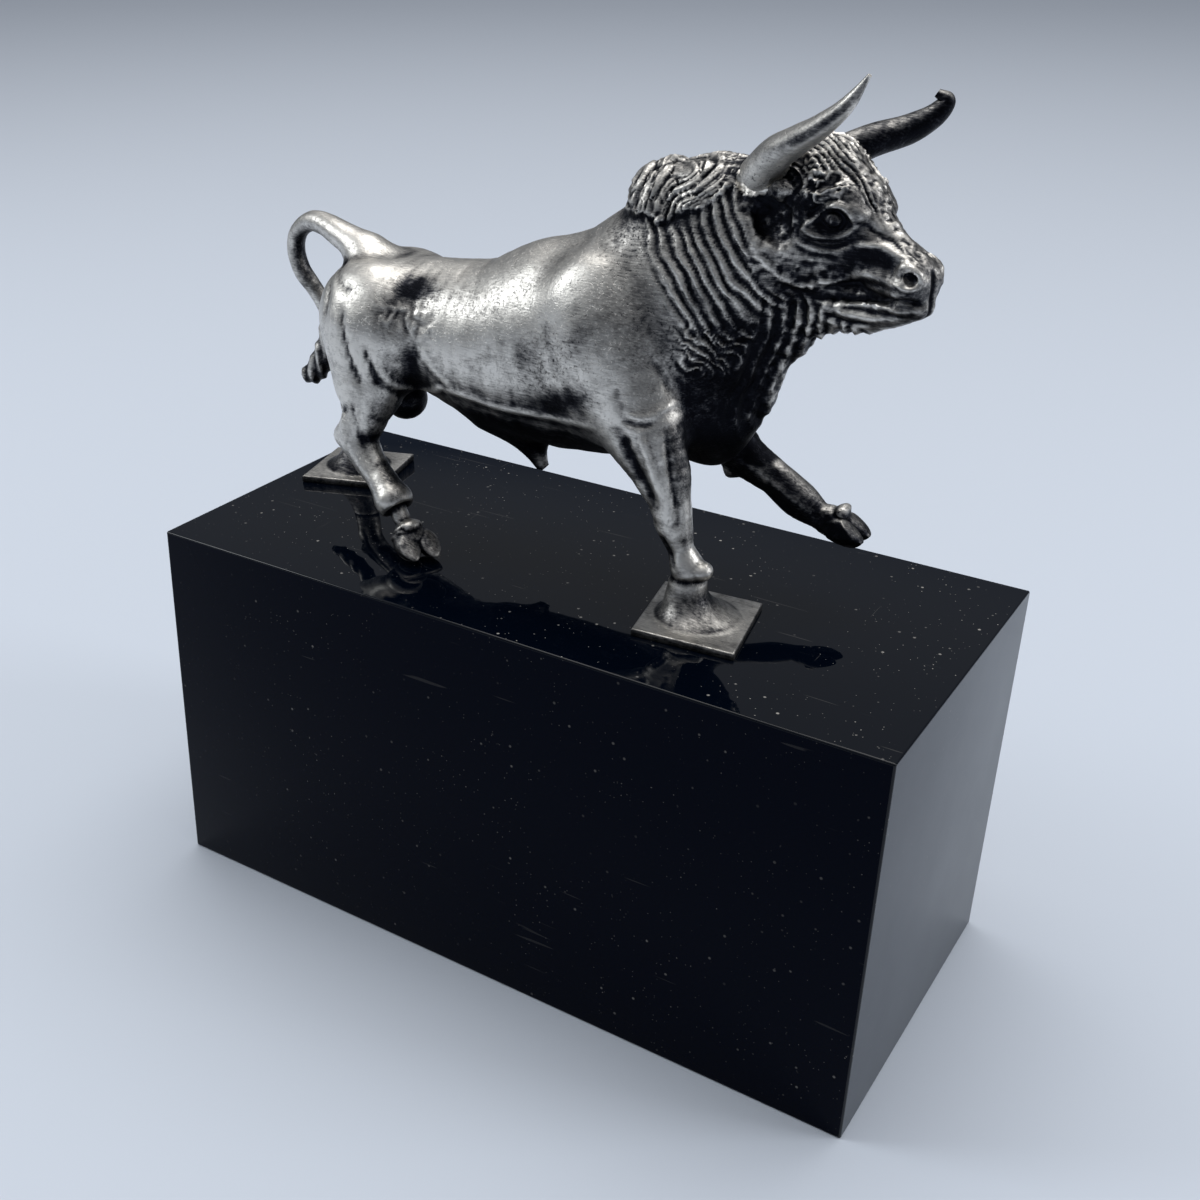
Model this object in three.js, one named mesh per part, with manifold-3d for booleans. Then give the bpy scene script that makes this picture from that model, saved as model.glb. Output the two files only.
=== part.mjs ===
// A walking bull cast in silver, held by two foot plates on a polished black plinth.
// Millimetres, +Z up. The bull faces +X and its right side faces -Y.
// The origin is the middle of the plinth's underside.

import * as THREE from 'three';
import Module from 'manifold-3d';
import { mergeVertices } from 'three/addons/utils/BufferGeometryUtils.js';
import { RoundedBoxGeometry } from 'three/addons/geometries/RoundedBoxGeometry.js';

const plinth = { length: 120, width: 56, height: 61, arris: 0.4 };

// The bull has a frame of its own: x forward, y to its left, z up from the plinth's top.
// Its middle plane lies this far to the left of the plinth's.
const middle = 0.5;

// Each row of a limb is one place along it: x, y, z, half height, and width as a share of that height.
const trunk = [
  [-37, 0, 32.8, 8.8, 0.95],
  [-26, 0, 32.5, 10.1, 0.92],
  [-14, 0, 31.6, 12.6, 0.84],
  [-3, 0, 33.5, 15.5, 0.73],
  [6, 0, 35.0, 15.7, 0.69],
  [13, 0, 39.5, 15.2, 0.62],
];
const neck = [
  [9, 0, 39, 13.6, 0.64],
  [17, 0, 46, 13, 0.62],
  [24, 0, 51.5, 10.6, 0.64],
  [30, -0.3, 55, 8.0, 0.75],
];
const dewlap = [
  [20, 0, 24.8, 4.4, 0.7],
  [24.6, 0, 31, 3.6, 0.6],
  [27.8, 0, 37, 2.9, 0.6],
  [31.4, -0.8, 42, 2.9, 0.7],
  [36, -1.6, 45.6, 2.8, 0.8],
];
const nearForeLeg = {
  shoulder: [7, -7.2, 37, 8.0, 0.65],
  elbow: [12.5, -8.8, 28.5, 6.4, 0.72],
  forearm: [16.6, -9.3, 22.4, 4.5, 0.8],
  aboveKnee: [18.8, -9.4, 17.8, 2.9, 0.95],
  knee: [19.6, -9.5, 14.8, 2.7, 1.0],
  cannon: [21.0, -9.5, 10.8, 1.8, 1.0],
  fetlock: [22.3, -9.3, 7.8, 2.5, 1.0],
};
const farForeLeg = {
  shoulder: [9, 7.0, 35, 7.6, 0.65],
  elbow: [15.5, 7.6, 25.2, 5.2, 0.75],
  forearm: [22.0, 7.5, 19.5, 3.2, 0.85],
  aboveKnee: [27.0, 7.5, 17.0, 2.5, 0.95],
  knee: [30.8, 7.4, 14.7, 2.7, 1.0],
  cannon: [34.0, 7.4, 13.0, 1.9, 1.0],
  fetlock: [36.2, 7.3, 12.6, 2.3, 1.0],
};
const nearHindLeg = {
  hip: [-33.5, -6.0, 31.0, 8.6, 0.72],
  thigh: [-34.2, -7.6, 25.2, 6.6, 0.7],
  gaskin: [-33.2, -9.2, 20.4, 3.5, 0.85],
  hock: [-35.0, -9.8, 16.0, 3.5, 0.75],
  shank: [-33.0, -10.4, 13.0, 2.9, 0.8],
  cannon: [-30.2, -11.2, 10.8, 2.3, 0.95],
  fetlock: [-26.8, -12.4, 8.3, 2.6, 1.0],
};
// Below the fetlock's overhanging hem the pastern is thinner, down to the hoof.
const nearHindPastern = [
  [-26.4, -12.5, 7.6, 1.9, 1.0],
  [-24.2, -13.2, 5.2, 1.7, 1.0],
  [-22.4, -13.7, 3.4, 2.0, 1.1],
];
const farHindLeg = {
  hip: [-36.0, 6.5, 31.0, 8.6, 0.72],
  thigh: [-39.5, 8.0, 25.5, 6.0, 0.72],
  gaskin: [-46.0, 9.0, 20.5, 3.9, 0.8],
  hock: [-50.2, 9.2, 16.4, 3.1, 0.8],
  shank: [-50.9, 9.2, 12.0, 2.2, 0.95],
  fetlock: [-50.5, 9.2, 7.0, 2.4, 1.0],
};
const tail = [
  [-40, 0.2, 42.2, 2.4, 1.2],
  [-44.5, 0.5, 43.4, 2.2, 1.1],
  [-49.4, 1.5, 44.6, 1.8, 1.0],
  [-53.0, 2.3, 44.4, 1.6, 1.0],
  [-56.2, 3.1, 42.2, 1.5, 1.0],
  [-57.5, 3.7, 39.2, 1.5, 1.0],
  [-57.0, 4.3, 35.7, 1.5, 1.0],
  [-54.8, 4.7, 32.8, 1.4, 1.0],
  [-52.5, 5.0, 29.4, 1.4, 1.0],
  [-52.5, 5.3, 25.6, 1.7, 1.0],
  [-53.9, 5.5, 21.2, 2.1, 1.0],
  [-56.6, 5.5, 17.8, 1.9, 0.9],
  [-58.8, 5.5, 17.0, 0.7, 0.9],
];
const nearHorn = [
  [25.2, -3.6, 61.2, 2.4, 1.0],
  [28.5, -6.2, 64.5, 2.15, 1.0],
  [32.0, -8.1, 66.8, 1.75, 1.0],
  [35.3, -9.7, 68.9, 1.4, 1.0],
  [38.6, -11.0, 71.7, 0.95, 1.0],
  [41.2, -11.9, 75.2, 0.2, 1.0],
];
// The far horn's tip is bent back on itself and flattened.
const farHorn = [
  [31.5, 2.0, 62.6, 2.3, 1.0],
  [36.5, 4.3, 65.3, 2.05, 1.0],
  [40.4, 6.9, 66.8, 1.8, 1.0],
  [43.0, 8.3, 68.7, 1.35, 1.0],
  [43.8, 8.6, 70.2, 1.0, 1.0],
  [42.6, 8.4, 71.0, 0.5, 1.0],
];

// The head has a frame of its own: u to the nose, v to the bull's left, w to the brow.
const head = { at: [33.5, -0.2, 57.5], yaw: -17, pitch: -20 };

// Each hoof: its middle, a claw's half length, half width and half height, and where it points.
const nearHindHoof = { at: [-21.0, -14.0, 2.2], claw: [3.3, 1.8, 1.8], spread: 0.95, yaw: -28, pitch: -10 };
const farForeHoof = { at: [38.4, 7.2, 11.9], claw: [3.0, 1.6, 1.9], spread: 0.9, yaw: 0, pitch: -10 };

// A foot plate is a flat slab, turned and slightly out of square, whose top rises to a round stem.
const nearForePlate = {
  at: [24.1, -9.0],
  size: [15.0, 16.4],
  turn: 5,
  skew: 6,
  thick: 1.1,
  stem: 2.2,
  leg: [22.2, -9.3],
  rise: 6.6,
};
const farHindPlate = {
  at: [-50.4, 9.2],
  size: [14.2, 14.6],
  turn: 20,
  skew: -6,
  thick: 1.1,
  stem: 2.1,
  leg: [-50.5, 9.2],
  rise: 6.0,
};

// The folds of the neck curve round a point in the cheek. The crest's locks slant down and back.
const folds = { pivot: [36, 60], inner: 18.5, outer: 33, pitch: 3.0, height: 0.4 };
const locks = { slope: 39, pitch: 3.0, height: 0.5 };
const thighGroove = { path: [[-42.5, 34], [-41.5, 28], [-38.5, 22.5]], width: 1.2, height: -0.7 };
const flankFold = { path: [[-22, 34], [-21.5, 28], [-16, 22.5]], width: 1.1, height: 0.5 };
// The mouth runs down and back from the lips, in the head's own frame: u, w.
const mouth = { path: [[20, -1.2], [15.5, -3.7], [11, -6.8]], width: 0.7, height: -0.7 };

// Skin faces kept of the body, which leaves the whole part under ten thousand.
const bodyFaces = 7300;

const silver = new THREE.MeshStandardMaterial({ color: 0x8f9092, roughness: 0.38, metalness: 1 });
const blackStone = new THREE.MeshStandardMaterial({ color: 0x06070a, roughness: 0.06, metalness: 0 });

const radians = THREE.MathUtils.degToRad;
const bothSides = (make) => [make(-1), make(1)];

// Solid forms, as signed distances in millimetres: negative inside, positive outside.

const far = 9; // past this distance from a form, how far away it is no longer matters

function smoothMin(a, b, blend) {
  const overlap = Math.max(blend - Math.abs(a - b), 0) / blend;
  return Math.min(a, b) - (overlap * overlap * blend) / 4;
}

// Places along the smooth curve through a limb's rows: x, y, z, radius and width.
function stationsOf(table, steps) {
  const rows = Array.isArray(table) ? table : Object.values(table);
  const curve = new THREE.CatmullRomCurve3(rows.map(([x, y, z]) => new THREE.Vector3(x, y, z)));
  const count = (rows.length - 1) * steps;
  return Array.from({ length: count + 1 }, (_, i) => {
    const place = (i / count) * (rows.length - 1);
    const row = Math.min(Math.floor(place), rows.length - 2);
    const part = THREE.MathUtils.smoothstep(place - row, -0.15, 1.15);
    const between = (column) => THREE.MathUtils.lerp(rows[row][column], rows[row + 1][column], part);
    return [...curve.getPoint(i / count).toArray(), between(3), between(4)];
  });
}

function boxOf(stations) {
  const reach = (row) => row[3] * Math.max(1, row[4]);
  const low = [0, 1, 2].map((axis) => Math.min(...stations.map((row) => row[axis] - reach(row))));
  const high = [0, 1, 2].map((axis) => Math.max(...stations.map((row) => row[axis] + reach(row))));
  return { low, high };
}

function outsideBox({ low, high }, x, y, z) {
  const dx = Math.max(low[0] - x, x - high[0], 0);
  const dy = Math.max(low[1] - y, y - high[1], 0);
  const dz = Math.max(low[2] - z, z - high[2], 0);
  return Math.hypot(dx, dy, dz);
}

// A limb is a chain of oval sections. The width is measured along Y.
function limb(table, blend = 3) {
  const stations = stationsOf(table, 5);
  const box = boxOf(stations);
  const distance = (x, y, z) => {
    const away = outsideBox(box, x, y, z);
    if (away > far) return away;
    let nearest = Infinity;
    for (let i = 0; i + 1 < stations.length; i += 1) {
      const a = stations[i];
      const b = stations[i + 1];
      const abx = b[0] - a[0];
      const aby = b[1] - a[1];
      const abz = b[2] - a[2];
      const dot = (x - a[0]) * abx + (y - a[1]) * aby + (z - a[2]) * abz;
      const part = Math.min(Math.max(dot / (abx * abx + aby * aby + abz * abz), 0), 1);
      const width = a[4] + part * (b[4] - a[4]);
      const dx = x - a[0] - part * abx;
      const dy = (y - a[1] - part * aby) / width;
      const dz = z - a[2] - part * abz;
      const reach = Math.sqrt(dx * dx + dy * dy + dz * dz) - a[3] - part * (b[3] - a[3]);
      nearest = Math.min(nearest, reach);
    }
    return nearest * 0.85;
  };
  return { distance, blend };
}

const turnOf = (pitch, yaw) => new THREE.Matrix4().makeRotationFromEuler(
  new THREE.Euler(0, radians(-pitch), radians(yaw), 'ZYX'),
);

// A mass is an ellipsoid: where it is, its half sizes, and its turn about Y (pitch) and Z (yaw) in degrees.
function mass(at, radii, blend = 3, { pitch = 0, yaw = 0 } = {}) {
  const m = turnOf(pitch, yaw).elements;
  const reach = Math.max(...radii);
  const [a, b, c] = radii;
  const distance = (x, y, z) => {
    const dx = x - at[0];
    const dy = y - at[1];
    const dz = z - at[2];
    const away = Math.hypot(dx, dy, dz);
    if (away > reach + far) return away - reach;
    const u = (m[0] * dx + m[1] * dy + m[2] * dz) / a;
    const v = (m[4] * dx + m[5] * dy + m[6] * dz) / b;
    const w = (m[8] * dx + m[9] * dy + m[10] * dz) / c;
    const unit = Math.hypot(u, v, w);
    const slope = Math.hypot(u / a, v / b, w / c);
    return slope < 1e-6 ? -Math.min(a, b, c) : (unit * (unit - 1)) / slope;
  };
  return { distance, blend };
}

const headTurn = turnOf(head.pitch, head.yaw);

function onHead([u, v, w]) {
  const point = new THREE.Vector3(u, v, w).applyMatrix4(headTurn);
  return [point.x + head.at[0], point.y + head.at[1], point.z + head.at[2]];
}

const headMass = (at, radii, blend) => mass(onHead(at), radii, blend, head);
const headRows = (rows) => rows.map(([u, v, w, ...size]) => [...onHead([u, v, w]), ...size]);
const headLimb = (rows, blend) => limb(headRows(rows), blend);

const snout = [[4, 0, 0, 4.7, 0.85], [10, 0, -1.2, 3.6, 0.85], [14.2, 0, -1.4, 3.1, 0.95]];
const noseBridge = [[4, 0, 3.6, 2.2, 1.2], [10, 0, 1.6, 1.5, 1.2], [15.2, 0, 0.4, 1.1, 1.3]];
const lowerJaw = [
  [2, 0, -8.8, 4.0, 0.9],
  [8.5, 0, -9.0, 3.4, 0.85],
  [13.2, 0, -6.6, 2.4, 0.95],
  [17.6, 0, -3.4, 1.6, 1.2],
];
const brow = [[0.6, 4.4, 2.4, 0.8, 1], [3.8, 3.9, 3.6, 1.0, 1], [6.6, 2.9, 3.1, 0.8, 1]];
const mirrored = (rows, side) => rows.map(([u, v, ...others]) => [u, v * side, ...others]);

const headForms = [
  headMass([-1, 0, 1.2], [7, 5.4, 6.2], 3), // skull
  headMass([1.2, 0, 2.8], [5.2, 4.3, 3.9], 2), // forehead
  headMass([-2.4, 0, 5.2], [4, 4.6, 3.2], 2), // poll
  headMass([1, 0, -4.6], [6.6, 4.5, 5.4], 2.5), // cheeks
  headLimb(snout, 2.2),
  headLimb(noseBridge, 1.5),
  headLimb(lowerJaw, 1.4),
  headMass([15.7, 0, -1.3], [2.5, 3.4, 2.8], 1.2), // muzzle
  ...bothSides((side) => headLimb(mirrored(brow, side), 0.8)),
  ...bothSides((side) => headMass([15.6, side * 2.1, 0.1], [1.5, 1.1, 1.2], 0.6)), // wings of the nostrils
];

// Hollows are cut away from the head, each softened by its blend.
const hollows = [
  ...bothSides((side) => headMass([3.7, side * 6.1, 1.2], [2.3, 1.6, 1.7], 0.8)), // eye sockets
  ...bothSides((side) => headMass([-2.0, side * 6.9, -1.8], [3.4, 1.5, 2.8], 1.5)), // temples
  ...bothSides((side) => headMass([16.5, side * 3.3, 0.1], [0.9, 1.0, 0.8], 0.4)), // nostrils
];

const bodyForms = [
  limb(trunk, 4),
  limb(neck, 4),
  mass([11.7, 0, 54.2], [5.6, 5.8, 7.1], 1.2), // crest, behind
  mass([19, 0, 55.6], [7.5, 5.8, 7.0], 1.5), // crest, in front
  mass([18, 0, 28], [7.6, 6.6, 7.0], 3.5), // brisket
  limb(dewlap, 2.5),
  ...bothSides((side) => mass([6, side * 7.6, 36], [8.5, 4.8, 12.5], 4, { pitch: 14 })), // shoulders
  ...bothSides((side) => mass([-35, side * 5.2, 33], [9, 5.4, 8.8], 3.5)), // haunches
  mass([-33, 0, 19.5], [3.6, 3.2, 3.4], 1.5), // scrotum
  limb([[-16, 0, 20.5, 2.6, 1.2], [-10, 0, 17.4, 2.4, 0.9], [-7.4, 0, 13.6, 1.0, 1]], 3), // sheath
  limb(nearForeLeg, 2.5),
  limb(farForeLeg, 2.5),
  limb(nearHindLeg, 2.5),
  limb(nearHindPastern, 0.5),
  limb(farHindLeg, 2.5),
  mass([-38.0, -9.8, 15.2], [1.7, 1.3, 1.7], 1.4, { pitch: 30 }), // point of the near hock
  mass([-52.6, 9.2, 17.2], [1.6, 1.3, 1.9], 1.4, { pitch: 20 }), // point of the far hock
  mass([24.7, -9.3, 8.2], [1.2, 1.5, 1.3], 0.8), // fetlock of the near foreleg
  mass([37.6, 7.3, 14.6], [0.9, 1.8, 0.9], 0.6), // dewclaws of the raised foreleg
  mass([20.4, 6.8, 16.9], [1.2, 1.1, 1.2], 0.8), // elbow of the raised foreleg
  mass([-39, 0.1, 41.4], [5, 3.2, 2.6], 2.5, { pitch: -12 }), // root of the tail
  ...headForms,
];

// A stroke raises or sinks the skin along a path in the side view, on both flanks.
function strokeHeight({ path, width, height }, x, z) {
  let nearest = Infinity;
  for (let i = 0; i + 1 < path.length; i += 1) {
    const [ax, az] = path[i];
    const [dx, dz] = [path[i + 1][0] - ax, path[i + 1][1] - az];
    const part = THREE.MathUtils.clamp(((x - ax) * dx + (z - az) * dz) / (dx * dx + dz * dz), 0, 1);
    nearest = Math.min(nearest, Math.hypot(x - ax - part * dx, z - az - part * dz));
  }
  return height * Math.exp(-((nearest / width) ** 2));
}

const rise = THREE.MathUtils.smoothstep;

function neckFolds(x, y, z) {
  const [dx, dz] = [x - folds.pivot[0], z - folds.pivot[1]];
  const radius = Math.hypot(dx, dz);
  if (radius > folds.outer + 2 || radius < folds.inner - 2) return 0;
  const angle = (THREE.MathUtils.radToDeg(Math.atan2(dz, dx)) + 360) % 360;
  const spread = 1 + (0.18 * (angle - 200) * (radius - folds.inner)) / (45 * 12);
  const place = (radius / spread - folds.inner) / folds.pitch;
  const start = rise(radius, folds.inner - 1, folds.inner + 1);
  const end = 1 - rise(radius, folds.outer - 3, folds.outer + 1);
  const ends = rise(angle, 196, 206) * (1 - rise(angle, 248, 258));
  const height = folds.height * start * end * ends * rise(Math.abs(y), 1.5, 3.5);
  return height * Math.cos(place * 2 * Math.PI);
}

function crestLocks(x, z) {
  const [c, s] = [Math.cos(radians(locks.slope)), Math.sin(radians(locks.slope))];
  const across = x * s - z * c;
  const inside = rise(x, 6, 8) * (1 - rise(x, 21, 24)) * rise(z, 51, 53.5);
  return locks.height * Math.cos((across / locks.pitch) * 2 * Math.PI) * inside;
}

const headUnturn = headTurn.clone().invert();

function mouthLine(x, y, z) {
  const at = new THREE.Vector3(x, y, z).sub(new THREE.Vector3(...head.at)).applyMatrix4(headUnturn);
  return at.x > 8 ? strokeHeight(mouth, at.x, at.z) : 0;
}

function bullDistance(x, y, z) {
  let nearest = far * 2;
  for (const form of bodyForms) {
    nearest = smoothMin(nearest, form.distance(x, y, z), form.blend);
  }
  if (nearest > 3) return nearest;
  for (const hollow of hollows) {
    nearest = -smoothMin(-nearest, hollow.distance(x, y, z), hollow.blend);
  }
  const hair = neckFolds(x, y, z) + crestLocks(x, z);
  const flanks = strokeHeight(thighGroove, x, z) + strokeHeight(flankFold, x, z);
  return nearest - hair - flanks * rise(Math.abs(y), 2, 5) - mouthLine(x, y, z);
}

// Grid lines along one axis: each pair is where a stretch starts and the spacing from there on.
function gridLines(stretches, end) {
  const lines = [];
  stretches.forEach(([start, step], i) => {
    const stop = i + 1 < stretches.length ? stretches[i + 1][0] : end;
    const cells = Math.max(1, Math.round((stop - start) / step));
    for (let k = 0; k < cells; k += 1) lines.push(start + ((stop - start) * k) / cells);
  });
  lines.push(end);
  return lines;
}

const grid = [
  gridLines([[-58, 1.3], [-24, 2.0], [3, 1.0]], 54),
  gridLines([[-19, 1.15]], 16),
  gridLines([[-1, 1.2], [22, 1.6], [30, 1.2], [42, 1.0]], 70),
];

// The twelve edges and six faces of a cell, by its corners. Corner number: x + 2 y + 4 z.
const cellEdges = [
  [0, 1], [2, 3], [4, 5], [6, 7],
  [0, 2], [1, 3], [4, 6], [5, 7],
  [0, 4], [1, 5], [2, 6], [3, 7],
];
const cellFaces = [[0, 1, 3, 2], [4, 5, 7, 6], [0, 1, 5, 4], [2, 3, 7, 6], [0, 2, 6, 4], [1, 3, 7, 5]];
const cellCorners = [0, 1, 2, 3, 4, 5, 6, 7];

function connected(corners) {
  const reached = new Set(corners.slice(0, 1));
  for (let pass = 0; pass < 7; pass += 1) {
    for (const [a, b] of cellEdges) {
      const both = corners.includes(a) && corners.includes(b);
      if (both && (reached.has(a) || reached.has(b))) reached.add(a).add(b);
    }
  }
  return reached.size === corners.length;
}

// A cell is simple when one sheet of surface crosses it: its inner corners hang together, and its outer ones.
const simpleCell = Array.from({ length: 256 }, (_, mask) => {
  const inside = cellCorners.filter((corner) => mask & (1 << corner));
  const outside = cellCorners.filter((corner) => !(mask & (1 << corner)));
  const crossed = cellFaces.some((face) => {
    const [a, b, c, d] = face.map((corner) => (mask >> corner) & 1);
    return a === c && b === d && a !== b;
  });
  return connected(inside) && connected(outside) && !crossed;
});

function meshField(field, lines) {
  const [nx, ny, nz] = lines.map((axisLines) => axisLines.length);
  const index = (i, j, k) => i + nx * (j + ny * k);
  const values = new Float64Array(nx * ny * nz);
  const eachCell = (visit, [ci, cj, ck]) => {
    for (let k = 0; k < ck; k += 1) {
      for (let j = 0; j < cj; j += 1) {
        for (let i = 0; i < ci; i += 1) visit(i, j, k);
      }
    }
  };
  eachCell((i, j, k) => {
    values[index(i, j, k)] = field(lines[0][i], lines[1][j], lines[2][k]);
  }, [nx, ny, nz]);

  const cornersOf = (i, j, k) => cellCorners.map((c) => index(i + (c & 1), j + ((c >> 1) & 1), k + (c >> 2)));
  const maskOf = (ids) => ids.reduce((mask, id, corner) => mask | (values[id] < 0 ? 1 << corner : 0), 0);
  const cells = [nx - 1, ny - 1, nz - 1];

  // A cell that two sheets cross has its nearest outer corner filled, until every cell is simple.
  let filled = true;
  while (filled) {
    filled = false;
    eachCell((i, j, k) => {
      const ids = cornersOf(i, j, k);
      if (simpleCell[maskOf(ids)]) return;
      const nearest = ids.filter((id) => values[id] >= 0).sort((a, b) => values[a] - values[b])[0];
      values[nearest] = -0.05;
      filled = true;
    }, cells);
  }

  // One point in each cell that the surface crosses, at the mean of its crossings.
  const points = [];
  const limits = [];
  const pointOf = new Map();
  eachCell((i, j, k) => {
    const ids = cornersOf(i, j, k);
    const crossed = cellEdges.filter(([a, b]) => values[ids[a]] < 0 !== values[ids[b]] < 0);
    if (crossed.length === 0) return;
    const sum = [0, 0, 0];
    for (const [a, b] of crossed) {
      const part = values[ids[a]] / (values[ids[a]] - values[ids[b]]);
      [i, j, k].forEach((cell, axis) => {
        const start = lines[axis][cell + ((a >> axis) & 1)];
        const end = lines[axis][cell + ((b >> axis) & 1)];
        sum[axis] += start + part * (end - start);
      });
    }
    pointOf.set(index(i, j, k), points.length);
    points.push(sum.map((value) => value / crossed.length));
    limits.push([i, j, k].map((cell, axis) => [lines[axis][cell], lines[axis][cell + 1]]));
  }, cells);

  // One four-sided face round each grid edge that the surface crosses.
  const quads = [];
  const strides = [1, nx, nx * ny];
  eachCell((i, j, k) => {
    if (i === 0 || j === 0 || k === 0) return;
    const here = index(i, j, k);
    for (let axis = 0; axis < 3; axis += 1) {
      const inside = values[here] < 0;
      if (inside === values[here + strides[axis]] < 0) continue;
      const a = strides[(axis + 1) % 3];
      const b = strides[(axis + 2) % 3];
      const ring = [here - a - b, here - b, here, here - a].map((id) => pointOf.get(id));
      quads.push(inside ? ring : ring.reverse());
    }
  }, cells);
  return { points, limits, quads };
}

// The points are evened out and drawn back to the surface, each within its own cell.
function relax(field, { points, limits, quads }, rounds) {
  const neighbours = points.map(() => new Set());
  for (const quad of quads) {
    quad.forEach((point, i) => neighbours[point].add(quad[(i + 1) % 4]).add(quad[(i + 3) % 4]));
  }
  const evenness = 0.6;
  const margin = 0.04;
  const tiny = 0.05;
  for (let round = 0; round < rounds; round += 1) {
    const even = points.map((point, i) => point.map((value, axis) => {
      const around = [...neighbours[i]];
      const mean = around.reduce((sum, other) => sum + points[other][axis], 0) / around.length;
      return THREE.MathUtils.lerp(value, mean, evenness);
    }));
    even.forEach((point, i) => {
      for (let step = 0; step < 2; step += 1) {
        const [x, y, z] = point;
        const here = field(x, y, z);
        const beside = [field(x + tiny, y, z), field(x, y + tiny, z), field(x, y, z + tiny)];
        const slope = beside.map((value) => (value - here) / tiny);
        const steep = slope.reduce((sum, value) => sum + value * value, 0);
        slope.forEach((value, axis) => {
          point[axis] -= (here * value) / Math.max(steep, 0.2);
        });
      }
      points[i] = point.map((value, axis) => {
        const [low, high] = limits[i][axis];
        const inset = (high - low) * margin;
        return THREE.MathUtils.clamp(value, low + inset, high - inset);
      });
    });
  }
}

function splitQuads(points, quads) {
  const apart = (a, b) => Math.hypot(...points[a].map((value, axis) => value - points[b][axis]));
  return quads.flatMap(([a, b, c, d]) => {
    const firstIsShorter = apart(a, c) <= apart(b, d);
    return firstIsShorter ? [a, b, c, a, c, d] : [a, b, d, b, c, d];
  });
}

// How far a point lies from the planes of the faces round it, as the ten numbers of a squared distance.
const planeSquares = (a, b, c, d, weight) => (
  [a * a, a * b, a * c, a * d, b * b, b * c, b * d, c * c, c * d, d * d].map((value) => value * weight)
);

function squaredDistance(q, [x, y, z]) {
  return q[0] * x * x + 2 * q[1] * x * y + 2 * q[2] * x * z + 2 * q[3] * x
    + q[4] * y * y + 2 * q[5] * y * z + 2 * q[6] * y + q[7] * z * z + 2 * q[8] * z + q[9];
}

// The point nearest to all those planes, held lightly to the middle of the edge.
function bestPoint(q, middlePoint) {
  const hold = 1e-3;
  const [x, y, z] = middlePoint;
  const inverse = new THREE.Matrix3().set(
    q[0] + hold, q[1], q[2],
    q[1], q[4] + hold, q[5],
    q[2], q[5], q[7] + hold,
  ).invert();
  return new THREE.Vector3(hold * x - q[3], hold * y - q[6], hold * z - q[8]).applyMatrix3(inverse).toArray();
}

// A heap keeps the cheapest entry on top. Each entry is an array that starts with its cost.
function heapPush(heap, entry) {
  let i = heap.push(entry) - 1;
  while (i > 0) {
    const parent = (i - 1) >> 1;
    if (heap[parent][0] <= entry[0]) break;
    heap[i] = heap[parent];
    i = parent;
  }
  heap[i] = entry;
}

function heapPop(heap) {
  const top = heap[0];
  const last = heap.pop();
  if (heap.length === 0) return top;
  let i = 0;
  for (;;) {
    let child = 2 * i + 1;
    if (child >= heap.length) break;
    if (child + 1 < heap.length && heap[child + 1][0] < heap[child][0]) child += 1;
    if (heap[child][0] >= last[0]) break;
    heap[i] = heap[child];
    i = child;
  }
  heap[i] = last;
  return top;
}

const crossOf = ([a, b, c]) => {
  const [ux, uy, uz] = [b[0] - a[0], b[1] - a[1], b[2] - a[2]];
  const [vx, vy, vz] = [c[0] - a[0], c[1] - a[1], c[2] - a[2]];
  return [uy * vz - uz * vy, uz * vx - ux * vz, ux * vy - uy * vx];
};

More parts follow.
